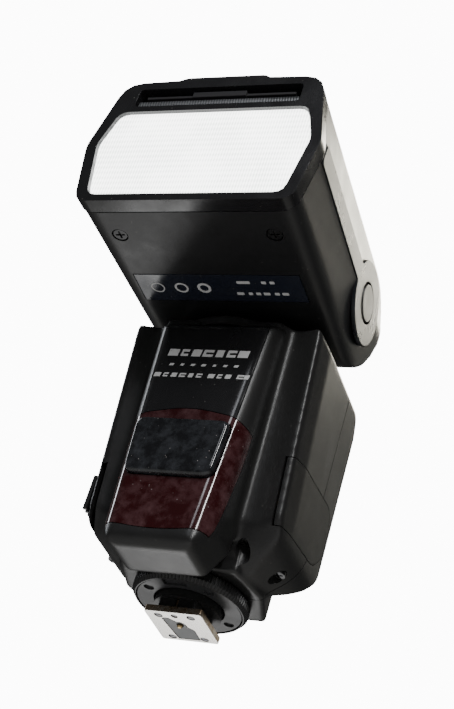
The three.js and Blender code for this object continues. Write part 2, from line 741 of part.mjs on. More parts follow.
// The trim's outline: a strip that widens to a round boss at the pivot.
function trimCorners(margin) {
  const radius = TRIM.boss + margin;
  const corners = [
    [TRIM.front - margin, TRIM.top + margin, 2],
    [TRIM.front - margin, TRIM.bottom - margin, 2],
  ];
  const start = Math.PI + Math.asin((PIVOT.z - TRIM.bottom + margin) / radius);
  const end = 3 * Math.PI - Math.asin((TRIM.top + margin - PIVOT.z) / radius);
  for (let i = 0; i <= 24; i += 1) {
    const angle = start + ((end - start) * i) / 24;
    corners.push([PIVOT.y + radius * Math.cos(angle), PIVOT.z + radius * Math.sin(angle)]);
  }
  return corners;
}

// The wall inside the roof that carries the zoom rods and the screw.
const zoomRib = () => {
  const slab = box([-50, ZOOM.ribFront, ZOOM.ribBottom], [50, ZOOM.ribBack, 160]);
  return meet(headSolid(WALL - 0.5, HEAD.shellFront), slab);
};

const zoomBores = () => [
  rod("y", ZOOM.rodRadius + 0.05, ZOOM.ribFront - 1, ZOOM.rodEnd + 0.1, [-ZOOM.rodX, ZOOM.z], 10),
  rod("y", ZOOM.rodRadius + 0.05, ZOOM.ribFront - 1, ZOOM.rodEnd + 0.1, [ZOOM.rodX, ZOOM.z], 10),
  rod("y", ZOOM.screwRadius + GAP, ZOOM.ribFront - 1, ZOOM.ribBack + 1, [ZOOM.screwX, ZOOM.z], 12),
];

function buildHeadShells() {
  const shell = cut(headSolid(0, HEAD.shellFront), headSolid(WALL, HEAD.shellFront - 5));
  const drumSpace = rod("x", DRUM.radius + 0.6, -DRUM.slotHalf, DRUM.slotHalf, [PIVOT.y, PIVOT.z], 32);
  const slot = box([-DRUM.slotHalf, DRUM.slotFront, 90], [DRUM.slotHalf, 20, DRUM.slotTop]);
  let hollow = cut(shell, drumSpace, slot);
  for (const side of [-1, 1]) {
    const floor = HEAD.kinkX - TRIM.thick;
    const bed = prism("x", trimCorners(GAP), floor - GAP, 50);
    hollow = cut(hollow, sideSolid(bed, side));
  }
  const screwHoles = [-HEAD_SCREW.x, HEAD_SCREW.x].map((x) => screwHole([x, HEAD_SCREW.y], 90, 96.6, 100));
  const bedHalf = LABEL.half + GAP;
  const labelBed = box([-bedHalf, LABEL.front - GAP, 90], [bedHalf, LABEL.back + GAP, 95.9]);
  const lower = meet(hollow, box([-50, -90, 80], [50, 30, HEAD.kinkZ - GAP / 2]));
  add("head_lower_shell", largest(cut(lower, labelBed, ...screwHoles)), FINISH.shell);
  const upper = meet(join(hollow, zoomRib()), box([-50, -90, HEAD.kinkZ + GAP / 2], [50, 30, 160]));
  add("head_upper_shell", largest(cut(upper, ...zoomBores())), FINISH.shell);
  add("label_plate", box([-LABEL.half, LABEL.front, 95.1], [LABEL.half, LABEL.back, 95.6]), FINISH.label);
  for (const [name, x] of [["head_screw_left", -HEAD_SCREW.x], ["head_screw_right", HEAD_SCREW.x]]) {
    add(name, crossScrew([x, HEAD_SCREW.y], HEAD_SCREW.z, 0.9, HEAD_SCREW.length), FINISH.steel);
  }
}

function buildTrims() {
  const inner = HEAD.kinkX - TRIM.thick;
  const capSpace = rod("x", TRIM.cap + GAP, inner - 5, 50, [PIVOT.y, PIVOT.z], 28);
  const trim = cut(prism("x", trimCorners(0), inner, HEAD.kinkX - 0.2), capSpace);
  const cap = rod("x", TRIM.cap, inner, HEAD.kinkX + 0.1, [PIVOT.y, PIVOT.z], 24, TRIM.cap - 0.5);
  for (const [word, side] of [["left", -1], ["right", 1]]) {
    add(`side_trim_${word}`, sideSolid(trim, side), FINISH.trim);
    add(`pivot_cap_${word}`, sideSolid(cap, side), FINISH.shell);
  }
}

const windowCorners = (margin) =>
  bothSides([
    [WINDOW.halfBottom + margin, WINDOW.bottom - margin, 3],
    [WINDOW.halfKink + margin, WINDOW.kinkZ, 2],
    [WINDOW.halfTop + margin, WINDOW.top + margin, 3],
  ]);

function buildHeadFront() {
  const frame = headSolid(0, HEAD.front, HEAD.shellFront - GAP);
  const bumpProfile = [
    [HEAD.front, 140],
    [-78.6, 140],
    [-78.6, 147.6, 1],
    [-81, 149.2, 1],
    [-84, 149, 2],
    [HEAD.front, 145.5, 1],
  ];
  const bump = meet(
    prism("x", bumpProfile, -16, 16),
    prism("y", bothSides([[16, 140], [16, 146, 3], [11, 149.4, 5]]), -90, HEAD.shellFront - GAP),
  );
  const bezel = cut(
    join(frame, bump),
    prism("y", windowCorners(0), -90, -70),
    prism("y", rectangle(-SLOT.half, SLOT.bottom, SLOT.half, SLOT.top, 1.5), -90, -70),
  );
  add("head_bezel", bezel, FINISH.gloss);
  add("flash_window", prism("y", windowCorners(-GAP), HEAD.front + 0.9, HEAD.front + 3.4), FINISH.clear);

  const wideTop = WIDE_PANEL.bottom + WIDE_PANEL.thick;
  const wideHalf = WIDE_PANEL.half;
  const rim = box([-wideHalf, HEAD.front + 1, WIDE_PANEL.bottom], [wideHalf, HEAD.front + 3, wideTop]);
  const pane = box(
    [-wideHalf, HEAD.front + 2, WIDE_PANEL.bottom + 0.4],
    [wideHalf, WIDE_PANEL.back, wideTop - 0.4],
  );
  add("wide_panel", join(rim, pane), FINISH.clear);
  const cardTop = CARD.bottom + CARD.thick;
  const card = join(
    box([-CARD.half, HEAD.front + 1.5, CARD.bottom], [CARD.half, CARD.back, cardTop]),
    box([-9, HEAD.front + 0.7, CARD.bottom - 0.6], [9, HEAD.front + 2.4, cardTop + 0.6]),
  );
  add("bounce_card", card, FINISH.white);
}

function buildZoom() {
  const { front, back, halfWidth, bottom, top } = REFLECTOR;
  const middle = (bottom + top) / 2;
  const trough = [
    [front, bottom],
    [back - 3, bottom + 9],
    [back, middle - 4, 2],
    [back, middle + 4, 2],
    [back - 3, top - 9],
    [front, top],
  ];
  const dish = [
    [front - 1, bottom + 1.2],
    [back - 4, bottom + 10.8],
    [back - 1.2, middle - 3.6, 1.5],
    [back - 1.2, middle + 3.6, 1.5],
    [back - 4, top - 10.8],
    [front - 1, top - 1.2],
  ];
  const block = prism("x", trough, -halfWidth, halfWidth);
  const shell = cut(block, prism("x", dish, -halfWidth + 1, halfWidth - 1));
  const tubeHoles = rod("x", TUBE.radius + 0.4, -40, 40, [back - TUBE.inset, middle], 20);
  add("reflector", cut(shell, tubeHoles), FINISH.mirror);
  const tube = rod("x", TUBE.radius, -halfWidth + 0.2, halfWidth - 0.2, [back - TUBE.inset, middle], 20);
  add("flash_tube", tube, FINISH.clear);

  const leg = box(
    [-CARRIAGE.halfWidth, CARRIAGE.front, CARRIAGE.low],
    [CARRIAGE.halfWidth, CARRIAGE.back, CARRIAGE.high],
  );
  const carriage = cut(
    leg,
    rod("y", ZOOM.rodRadius + GAP, -70, -50, [-ZOOM.rodX, ZOOM.z], 10),
    rod("y", ZOOM.rodRadius + GAP, -70, -50, [ZOOM.rodX, ZOOM.z], 10),
    rod("y", ZOOM.screwRadius + GAP, -70, -50, [ZOOM.screwX, ZOOM.z], 12),
    box([-14, -70, 109], [14, -50, 126]),
  );
  add("zoom_carriage", carriage, FINISH.grey);
  for (const [name, x] of [["guide_rod_left", -ZOOM.rodX], ["guide_rod_right", ZOOM.rodX]]) {
    add(name, rod("y", ZOOM.rodRadius, CARRIAGE.front, ZOOM.rodEnd, [x, ZOOM.z], 10), FINISH.steel);
  }
  const axis = [ZOOM.screwX, ZOOM.z];
  add("zoom_screw", rod("y", ZOOM.screwRadius, CARRIAGE.front, ZOOM.screwEnd, axis, 12), FINISH.steel);
  const motorFront = ZOOM.screwEnd + GAP;
  const motor = rod("y", ZOOM.motorRadius, motorFront, motorFront + ZOOM.motorLength, axis, 20);
  add("zoom_motor", motor, FINISH.steel);
}

buildFoot();
buildLock();
buildBody();
buildControls();
buildElectronics();
buildNeck();
buildHeadShells();
buildTrims();
buildHeadFront();
buildZoom();

export default flash;
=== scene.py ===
"""Builds the looks of a shoe-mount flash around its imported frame."""

import logging
import math
from collections.abc import Callable, Iterator, Sequence
from contextlib import contextmanager
from dataclasses import dataclass, field
from enum import Enum

import bpy
from mathutils import Matrix, Vector


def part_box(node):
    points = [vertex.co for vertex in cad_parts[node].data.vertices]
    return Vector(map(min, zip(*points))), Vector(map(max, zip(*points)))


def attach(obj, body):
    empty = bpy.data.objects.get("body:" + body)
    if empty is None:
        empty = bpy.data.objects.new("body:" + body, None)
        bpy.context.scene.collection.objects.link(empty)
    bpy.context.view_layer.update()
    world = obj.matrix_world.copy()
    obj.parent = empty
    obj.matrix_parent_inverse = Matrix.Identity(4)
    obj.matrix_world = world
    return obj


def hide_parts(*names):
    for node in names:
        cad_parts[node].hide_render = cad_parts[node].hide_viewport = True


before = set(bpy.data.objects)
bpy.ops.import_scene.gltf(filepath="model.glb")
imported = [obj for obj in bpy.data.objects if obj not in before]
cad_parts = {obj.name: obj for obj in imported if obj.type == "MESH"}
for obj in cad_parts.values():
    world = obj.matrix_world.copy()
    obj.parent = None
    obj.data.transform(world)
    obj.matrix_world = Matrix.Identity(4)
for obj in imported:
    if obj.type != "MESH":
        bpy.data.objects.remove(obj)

LOG = logging.getLogger("flash")
MM = 0.001
Point = tuple[float, float, float]
Pair = tuple[float, float]
Colour = tuple[float, float, float]


class Axis(Enum):
    """The axis that a piece is drawn out along, and the two axes of its outline."""

    X = (1, 2, 0)
    Y = (0, 2, 1)
    Z = (0, 1, 2)


# ---- Modelling tools ----


def deselect() -> None:
    """Leaves nothing selected or active."""
    if bpy.context.mode != "OBJECT":
        bpy.ops.object.mode_set(mode="OBJECT")
    bpy.ops.object.select_all(action="DESELECT")


def select(piece: bpy.types.Object) -> None:
    """Makes one object the only selected and active one."""
    deselect()
    piece.select_set(True)
    bpy.context.view_layer.objects.active = piece


@contextmanager
def editing(piece: bpy.types.Object) -> Iterator[bpy.types.Mesh]:
    """Edit mode on one object, with all of its mesh selected at the start.

    Args:
        piece: the object.

    Yields:
        The object's mesh, while edit mode lasts.
    """
    select(piece)
    bpy.ops.object.mode_set(mode="EDIT")
    bpy.ops.mesh.select_all(action="SELECT")
    yield piece.data
    bpy.ops.object.mode_set(mode="OBJECT")


def pick(piece: bpy.types.Object, kind: str, test: Callable[[Vector, Vector], bool]) -> None:
    """Selects the vertices or faces that pass a test, from inside edit mode.

    Args:
        piece: the object in edit mode.
        kind: "VERT" or "FACE".
        test: takes the element's centre and normal in millimetres.
    """
    bpy.ops.mesh.select_all(action="DESELECT")
    bpy.ops.mesh.select_mode(type=kind)
    bpy.ops.object.mode_set(mode="OBJECT")
    parts = piece.data.vertices if kind == "VERT" else piece.data.polygons
    for part in parts:
        centre = part.co if kind == "VERT" else part.center
        part.select = bool(test(centre / MM, part.normal))
    bpy.ops.object.mode_set(mode="EDIT")


def modify(piece: bpy.types.Object, kind: str, **settings: object) -> None:
    """Adds one modifier, sets it up and applies it.

    Args:
        piece: the object.
        kind: the modifier's type.
        settings: its properties.
    """
    select(piece)
    modifier = piece.modifiers.new(kind.lower(), kind)
    for name, value in settings.items():
        setattr(modifier, name, value)
    bpy.ops.object.modifier_apply(modifier=modifier.name)


def soften(piece: bpy.types.Object, width: float, segments: int = 2, angle: float = 32) -> None:
    """Rounds a piece's edges over and shades it smooth.

    Args:
        piece: the object.
        width: the bevel's width in millimetres, or 0 for none.
        segments: steps across the bevel.
        angle: edges sharper than this many degrees are rounded.
    """
    if width:
        modify(
            piece,
            "BEVEL",
            width=width * MM,
            segments=segments,
            limit_method="ANGLE",
            angle_limit=math.radians(angle),
            miter_outer="MITER_ARC",
            use_clamp_overlap=True,
        )
    select(piece)
    bpy.ops.object.shade_smooth_by_angle(angle=math.radians(angle))
    modify(piece, "WEIGHTED_NORMAL", keep_sharp=True, weight=60)


def outline_ring(name: str, corners: Sequence[Pair], axis: Axis, level: float) -> bpy.types.Object:
    """A closed loop of vertices, one for each corner, joined by edges.

    Args:
        name: the object's name.
        corners: the loop in millimetres, on the axis's two outline axes.
        axis: the axis that the loop lies across.
        level: the loop's place along that axis in millimetres.

    Returns:
        The object, with its place in its mesh.
    """
    deselect()
    bpy.ops.mesh.primitive_circle_add(vertices=len(corners), radius=MM, fill_type="NOTHING")
    piece = bpy.context.active_object
    piece.name = name
    across, up, along = axis.value
    for vertex, corner in zip(piece.data.vertices, corners):
        vertex.co[across] = corner[0] * MM
        vertex.co[up] = corner[1] * MM
        vertex.co[along] = level * MM
    return piece


def recalculate(piece: bpy.types.Object) -> None:
    """Merges doubles and turns every face outwards."""
    with editing(piece):
        bpy.ops.mesh.remove_doubles(threshold=2e-6)
        bpy.ops.mesh.normals_make_consistent(inside=False)


def slab(name: str, corners: Sequence[Pair], axis: Axis, low: float, high: float) -> bpy.types.Object:
    """An outline filled and extruded between two levels in millimetres.

    Args:
        name: the object's name.
        corners: the outline in millimetres.
        axis: the axis to extrude along.
        low: the first level.
        high: the last level.

    Returns:
        The new object.
    """
    piece = outline_ring(name, corners, axis, low)
    step = [0.0, 0.0, 0.0]
    step[axis.value[2]] = (high - low) * MM
    with editing(piece):
        bpy.ops.mesh.edge_face_add()
        bpy.ops.mesh.extrude_region_move(TRANSFORM_OT_translate={"value": tuple(step)})
    recalculate(piece)
    return piece


def turned(name: str, profile: Sequence[Pair], steps: int, centre: Point, axis: Axis) -> bpy.types.Object:
    """A closed profile spun all the way round.

    Args:
        name: the object's name.
        profile: radius and height pairs in millimetres; on the axis the radius is 0.
        steps: how many flats go round.
        centre: a point on the axis in millimetres.
        axis: the axis to spin about.

    Returns:
        The object, with its place in its mesh.
    """
    piece = outline_ring(name, profile, Axis.Y, 0)
    with editing(piece):
        bpy.ops.mesh.spin(steps=steps, angle=math.tau, axis=(0, 0, 1), center=(0, 0, 0))
    recalculate(piece)
    turn = {Axis.X: Matrix.Rotation(math.pi / 2, 4, "Y"), Axis.Y: Matrix.Rotation(-math.pi / 2, 4, "X")}
    place = Matrix.Translation(Vector(centre) * MM)
    piece.data.transform(place @ turn.get(axis, Matrix.Identity(4)))
    recalculate(piece)
    return piece


def arc(centre: Pair, radius: float, start: float, end: float, count: int) -> list[Pair]:
    """Points round part of a circle, angles in degrees, both ends included.

    Args:
        centre: its centre.
        radius: its radius.
        start: the first angle.
        end: the last angle.
        count: how many points.

    Returns:
        The points in order.
    """
    steps = [start + (end - start) * i / (count - 1) for i in range(count)]
    return [
        (centre[0] + radius * math.cos(math.radians(a)), centre[1] + radius * math.sin(math.radians(a)))
        for a in steps
    ]


def rounded(low: Pair, high: Pair, radius: float, count: int = 5) -> list[Pair]:
    """A rectangle's outline with round corners.

    Args:
        low: its lower corner.
        high: its upper corner.
        radius: the corner radius.
        count: points round a corner.

    Returns:
        The outline in millimetres.
    """
    (a0, b0), (a1, b1) = low, high
    r = radius
    return [
        *arc((a1 - r, b0 + r), r, -90, 0, count),
        *arc((a1 - r, b1 - r), r, 0, 90, count),
        *arc((a0 + r, b1 - r), r, 90, 180, count),
        *arc((a0 + r, b0 + r), r, 180, 270, count),
    ]


def cut_away(piece: bpy.types.Object, tool: bpy.types.Object) -> None:
    """Takes one piece's shape out of another and removes the tool."""
    modify(piece, "BOOLEAN", operation="DIFFERENCE", solver="EXACT", object=tool)
    bpy.data.objects.remove(tool)


def keep_within(piece: bpy.types.Object, tool: bpy.types.Object) -> None:
    """Keeps only what one piece shares with another, and removes the tool."""
    modify(piece, "BOOLEAN", operation="INTERSECT", solver="EXACT", object=tool)
    bpy.data.objects.remove(tool)


def cut_all(piece: bpy.types.Object, tools: Sequence[bpy.types.Object]) -> None:
    """Takes several overlapping tools out of a piece in one cut, and removes them."""
    first, *others = tools
    fuse(first, *others)
    cut_away(piece, first)


def fuse(piece: bpy.types.Object, *others: bpy.types.Object) -> None:
    """Makes one solid of several that overlap."""
    for other in others:
        modify(piece, "BOOLEAN", operation="UNION", solver="EXACT", object=other)
        bpy.data.objects.remove(other)


def flow(piece: bpy.types.Object, grid: float, rounds: int) -> None:
    """Melts a solid's edges and inner corners into soft curves.

    Args:
        piece: the solid.
        grid: the new mesh's spacing in millimetres.
        rounds: smoothing passes; more passes give larger curves.
    """
    modify(piece, "REMESH", mode="VOXEL", voxel_size=grid * MM)
    modify(piece, "SMOOTH", factor=0.5, iterations=rounds)


def halved(piece: bpy.types.Object, place: Point, normal: Point) -> None:
    """Cuts a piece by a plane, in millimetres, and keeps the side that the normal leaves.

    Args:
        piece: the object.
        place: a point on the plane.
        normal: the plane's normal.
    """
    with editing(piece):
        bpy.ops.mesh.bisect(
            plane_co=tuple(v * MM for v in place),
            plane_no=normal,
            use_fill=True,
            clear_outer=True,
            threshold=1e-7,
        )


def copied(piece: bpy.types.Object, name: str) -> bpy.types.Object:
    """A copy of a piece with its own mesh.

    Args:
        piece: the object to copy.
        name: the copy's name.

    Returns:
        The copy.
    """
    twin = piece.copy()
    twin.data = piece.data.copy()
    twin.name = name
    bpy.context.scene.collection.objects.link(twin)
    return twin


def smooth_shaded(piece: bpy.types.Object, angle: float = 34) -> bpy.types.Object:
    """Shades a piece smooth except over its sharp edges."""
    select(piece)
    bpy.ops.object.shade_smooth_by_angle(angle=math.radians(angle))
    return piece


def plate(low: Point, high: Point) -> bpy.types.Object:
    """A rectangular block between two corners in millimetres, for use as a tool."""
    corners = [(low[0], low[1]), (high[0], low[1]), (high[0], high[1]), (low[0], high[1])]
    return slab("tool", corners, Axis.Z, low[2], high[2])


def eased(corners: Sequence[Sequence[float]], steps: int = 5) -> list[Pair]:
    """An outline through corners, each with an optional third value as its rounding radius.

    Args:
        corners: the corners in order.
        steps: steps round each curve.

    Returns:
        The outline in millimetres.
    """
    points: list[Pair] = []
    count = len(corners)
    for i, corner in enumerate(corners):
        here = Vector(corner[:2])
        radius = corner[2] if len(corner) > 2 else 0
        if not radius:
            points.append((here.x, here.y))
            continue
        before = Vector(corners[i - 1][:2]) - here
        after = Vector(corners[(i + 1) % count][:2]) - here
        reach = min(radius, 0.48 * before.length, 0.48 * after.length)
        enter, leave = here + before.normalized() * reach, here + after.normalized() * reach
        for k in range(steps + 1):
            t = k / steps
            spot = enter * (1 - t) ** 2 + here * (2 * t * (1 - t)) + leave * t**2
            points.append((spot.x, spot.y))
    return points


def mirrored(corners: Sequence[Sequence[float]]) -> list[Sequence[float]]:
    """The corners of the +X half, followed by their mirror images."""
    return [*corners, *[(-c[0], *c[1:]) for c in reversed(corners)]]


def prism(axis: Axis, corners: Sequence[Sequence[float]], low: float, high: float) -> bpy.types.Object:
    """A tool: an eased outline drawn out between two levels."""
    return slab("tool", eased(corners), axis, low, high)


def peg(
    axis: Axis, radius: float, low: float, high: float, centre: Pair, steps: int = 32
) -> bpy.types.Object:
    """A tool: a cylinder about a centre on the axis's two outline axes."""
    ring = arc(centre, radius, 0, 360 - 360 / steps, steps)
    return slab("tool", ring, axis, low, high)


def reshape(piece: bpy.types.Object, move: Callable[[Vector], Vector]) -> bpy.types.Object:
    """Moves every vertex by a rule in millimetres."""
    for vertex in piece.data.vertices:
        vertex.co = move(vertex.co / MM) * MM
    return piece


def joined(name: str, pieces: Sequence[bpy.types.Object]) -> bpy.types.Object:
    """Several objects made one.

    Args:
        name: the name of the result.
        pieces: the objects to join.

    Returns:
        The first of them, now all of them.
    """
    deselect()
    for piece in pieces:
        piece.select_set(True)
    bpy.context.view_layer.objects.active = pieces[0]
    if len(pieces) > 1:
        bpy.ops.object.join()
    pieces[0].name = name
    return pieces[0]


def casting(node: str, name: str, tidy: float = 0.03) -> bpy.types.Object:
    """A merged copy of a frame node, ready to be rounded over.

    Args:
        node: the frame node.
        name: the copy's name.
        tidy: vertices closer than this many millimetres are merged.

    Returns:
        The copy, at the origin, with flat faces made whole.
    """
    deselect()
    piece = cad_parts[node].copy()
    piece.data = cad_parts[node].data.copy()
    for key in list(piece.keys()):
        del piece[key]
    piece.parent = None
    piece.matrix_world = Matrix.Identity(4)
    bpy.context.scene.collection.objects.link(piece)
    piece.name = name
    select(piece)
    bpy.ops.mesh.customdata_custom_splitnormals_clear()
    with editing(piece):
        bpy.ops.mesh.remove_doubles(threshold=tidy * MM)
        bpy.ops.mesh.dissolve_limited(angle_limit=math.radians(0.6))
    return piece


# ---- Shader tools ----


class Graph:
    """Adds and joins the nodes of one shader tree."""

    def __init__(self, tree: bpy.types.NodeTree) -> None:
        """Starts on a tree."""
        self.tree = tree

    def node(self, kind: str, **settings: object) -> bpy.types.Node:
        """Adds a node and sets its properties.

        Args:
            kind: the node's type.
            settings: its properties.

        Returns:
            The node.
        """
        made = self.tree.nodes.new(kind)
        for name, value in settings.items():
            setattr(made, name, value)
        return made

    def feed(self, target: bpy.types.NodeSocket, source: object) -> None:
        """Links a socket to a source, or sets it where the source is a plain value.

        Args:
            target: the socket.
            source: a socket or a plain value.
        """
        if isinstance(source, bpy.types.NodeSocket):
            self.tree.links.new(source, target)
        else:
            target.default_value = source

    def math(self, operation: str, a: object, b: object = 0.0) -> bpy.types.NodeSocket:
        """One math node's result.

        Args:
            operation: the operation.
            a: the first value.
            b: the second value.

        Returns:
            The result's socket.
        """
        made = self.node("ShaderNodeMath", operation=operation)
        self.feed(made.inputs[0], a)
        self.feed(made.inputs[1], b)
        return made.outputs[0]

    def span(
        self, value: object, low: float, high: float, out_low: float = 0.0, out_high: float = 1.0
    ) -> bpy.types.NodeSocket:
        """A value mapped from one range to another and held inside it.

        Args:
            value: what is mapped.
            low: start of its range.
            high: end of its range.
            out_low: start of the new range.
            out_high: end of the new range.

        Returns:
            The result's socket.
        """
        made = self.node("ShaderNodeMapRange", clamp=True)
        for i, item in enumerate((value, low, high, out_low, out_high)):
            self.feed(made.inputs[i], item)
        return made.outputs[0]

    def mix(self, factor: object, a: object, b: object) -> bpy.types.NodeSocket:
        """Two colours mixed by a factor.

        Args:
            factor: share of the second colour.
            a: the first colour.
            b: the second colour.

        Returns:
            The result's socket.
        """
        made = self.node("ShaderNodeMix", data_type="RGBA")
        self.feed(made.inputs[0], factor)
        self.feed(made.inputs[6], a)
        self.feed(made.inputs[7], b)
        return made.outputs[2]

    def place(self, scale: Point = (1, 1, 1)) -> bpy.types.NodeSocket:
        """Object coordinates in millimetres, stretched by a scale.

        Args:
            scale: how much each axis is stretched.

        Returns:
            The result's socket.
        """
        source = self.node("ShaderNodeTexCoord").outputs["Object"]
        mapping = self.node("ShaderNodeMapping")
        self.feed(mapping.inputs["Vector"], source)
        mapping.inputs["Scale"].default_value = tuple(s / MM for s in scale)
        return mapping.outputs[0]

    def noise(
        self, where: object, scale: object, detail: float = 2.0, rough: float = 0.5
    ) -> bpy.types.NodeSocket:
        """A noise texture's value.

        Args:
            where: coordinates.
            scale: how fine it is.
            detail: its octaves.
            rough: how strong the finer octaves are.

        Returns:
            The result's socket.
        """
        made = self.node("ShaderNodeTexNoise")
        self.feed(made.inputs["Vector"], where)
        self.feed(made.inputs["Scale"], scale)
        made.inputs["Detail"].default_value = detail
        made.inputs["Roughness"].default_value = rough
        return made.outputs[0]

    def bump(self, height: object, distance: float, strength: float = 1.0) -> bpy.types.NodeSocket:
        """A bump normal from a height, its distance in millimetres.

        Args:
            height: the height.
            distance: its depth in millimetres.
            strength: how strongly it shows.

        Returns:
            The normal's socket.
        """
        made = self.node("ShaderNodeBump")
        made.inputs["Strength"].default_value = strength
        made.inputs["Distance"].default_value = distance * MM
        self.feed(made.inputs["Height"], height)
        return made.outputs[0]


def opaque(colour: Colour) -> tuple[float, float, float, float]:
    """A colour with full alpha."""
    return (*colour, 1.0)


class Effect(Enum):
    """The effects that several finishes share, each a shader node group."""

    GRAIN = "moulded_grain"
    HANDLING = "handling_marks"
    DUST = "settled_dust"


def _new_group(
    name: str, inputs: dict[str, float], outputs: Sequence[str]
) -> tuple[bpy.types.NodeTree, Graph]:
    """An empty group with float sockets.

    Args:
        name: the group's name.
        inputs: input names and their first values.
        outputs: output names.

    Returns:
        The group and its graph.
    """
    tree = bpy.data.node_groups.new(name, "ShaderNodeTree")
    for label, value in inputs.items():
        socket = tree.interface.new_socket(name=label, in_out="INPUT", socket_type="NodeSocketFloat")
        socket.default_value = value
    for label in outputs:
        tree.interface.new_socket(name=label, in_out="OUTPUT", socket_type="NodeSocketFloat")
    return tree, Graph(tree)


def grain_group() -> bpy.types.NodeTree:
    """Fine spark-eroded texture of moulded plastic: its height and a faint tint."""
    tree, graph = _new_group(Effect.GRAIN.value, {"Size": 0.3}, ("Height", "Tint"))
    source = graph.node("NodeGroupInput")
    sink = graph.node("NodeGroupOutput")
    scale = graph.math("DIVIDE", 1.0, source.outputs["Size"])
    where = graph.place()
    fine = graph.noise(where, scale, 3.0, 0.6)
    broad = graph.noise(where, 0.06, 3.0, 0.55)
    graph.feed(sink.inputs["Height"], graph.span(fine, 0.35, 0.65))
    graph.feed(sink.inputs["Tint"], graph.span(broad, 0.3, 0.7))
    return tree


def handling_group() -> bpy.types.NodeTree:
    """Where fingers have polished or smeared a surface, from 0 to 1."""
    tree, graph = _new_group(Effect.HANDLING.value, {"Spread": 12.0}, ("Smear", "Scuff"))
    source = graph.node("NodeGroupInput")
    sink = graph.node("NodeGroupOutput")
    scale = graph.math("DIVIDE", 1.0, source.outputs["Spread"])
    smear = graph.noise(graph.place((1, 1, 0.6)), scale, 5.0, 0.62)
    scuff = graph.noise(graph.place((2.2, 2.2, 0.12)), 0.9, 2.0, 0.5)
    graph.feed(sink.inputs["Smear"], graph.span(smear, 0.42, 0.66))
    graph.feed(sink.inputs["Scuff"], graph.span(scuff, 0.66, 0.8))
    return tree


def dust_group() -> bpy.types.NodeTree:
    """Settled dust: scattered specks and a thin mottled film."""
    tree, graph = _new_group(Effect.DUST.value, {"Spacing": 1.6}, ("Specks", "Film"))
    source = graph.node("NodeGroupInput")
    sink = graph.node("NodeGroupOutput")
    scale = graph.math("DIVIDE", 1.0, source.outputs["Spacing"])
    where = graph.place()
    cells = graph.node("ShaderNodeTexVoronoi")
    graph.feed(cells.inputs["Vector"], where)
    graph.feed(cells.inputs["Scale"], scale)
    near = graph.span(cells.outputs["Distance"], 0.05, 0.12, 1.0, 0.0)
    chosen = graph.span(graph.noise(where, 0.35, 1.0), 0.5, 0.6)
    film = graph.noise(where, 0.22, 6.0, 0.68)
    graph.feed(sink.inputs["Specks"], graph.math("MULTIPLY", near, chosen))
    graph.feed(sink.inputs["Film"], graph.span(film, 0.42, 0.7))
    return tree


_GROUPS: dict[Effect, bpy.types.NodeTree] = {}


def effect(graph: Graph, kind: Effect, value: float) -> bpy.types.Node:
    """Places a shared effect in a tree, with its one size in millimetres.

    Args:
        graph: the tree to place it in.
        kind: which effect.
        value: its size.

    Returns:
        The group's node.
    """
    makers = {Effect.GRAIN: grain_group, Effect.HANDLING: handling_group, Effect.DUST: dust_group}
    if kind not in _GROUPS:
        _GROUPS[kind] = makers[kind]()
    made = graph.node("ShaderNodeGroup", node_tree=_GROUPS[kind])
    made.inputs[0].default_value = value
    return made


# ---- Finishes ----

DUST = (0.16, 0.155, 0.145)
PALE_DUST = (0.4, 0.36, 0.35)


@dataclass(frozen=True)
class Finish:
    """A surface finish: one material, made once.

    Attributes:
        name: the material's name.
        slot: the record's material slot; not used.
        colour: base colour.
        worn: colour where it is smeared or dusty.
        roughness: roughness where clean.
        rubbed: roughness where handled.
        grain: size of the surface grain in millimetres.
        relief: depth of that grain in millimetres.
        metallic: 0 or 1.
        coat: clear coat's weight.
        spread: size of the smears in millimetres.
    """

    name: str
    slot: str
    colour: Colour
    worn: Colour
    roughness: float = 0.45
    rubbed: float = 0.3
    grain: float = 0.3
    relief: float = 0.012
    metallic: float = 0.0
    coat: float = 0.0
    spread: float = 14.0

    def material(self) -> bpy.types.Material:
        """The finish's material, built at the first call."""
        found = bpy.data.materials.get(self.name)
        if found:
            return found
        made = bpy.data.materials.new(self.name)
        made.use_nodes = True
        graph = Graph(made.node_tree)
        shader = made.node_tree.nodes["Principled BSDF"]
        shader.inputs["Metallic"].default_value = self.metallic
        shader.inputs["Coat Weight"].default_value = self.coat
        shader.inputs["Coat Roughness"].default_value = 0.08
        self.paint(graph, shader)
        return made

    def paint(self, graph: Graph, shader: bpy.types.Node) -> None:
        """Feeds the shader's colour, roughness and normal.

        Args:
            graph: the material's graph.
            shader: its main shader.
        """
        grain = effect(graph, Effect.GRAIN, self.grain)
        marks = effect(graph, Effect.HANDLING, self.spread)
        dust = effect(graph, Effect.DUST, 2.6)
        tint = graph.math("MULTIPLY", grain.outputs["Tint"], 0.35)
        tinted = graph.mix(tint, opaque(self.colour), opaque(self.worn))
        specks = graph.math("MULTIPLY", dust.outputs["Specks"], 0.5)
        graph.feed(shader.inputs["Base Color"], graph.mix(specks, tinted, opaque(DUST)))
        worn = graph.math("MAXIMUM", marks.outputs["Smear"], marks.outputs["Scuff"])
        graph.feed(shader.inputs["Roughness"], graph.span(worn, 0.0, 1.0, self.roughness, self.rubbed))
        graph.feed(shader.inputs["Normal"], graph.bump(grain.outputs["Height"], self.relief))


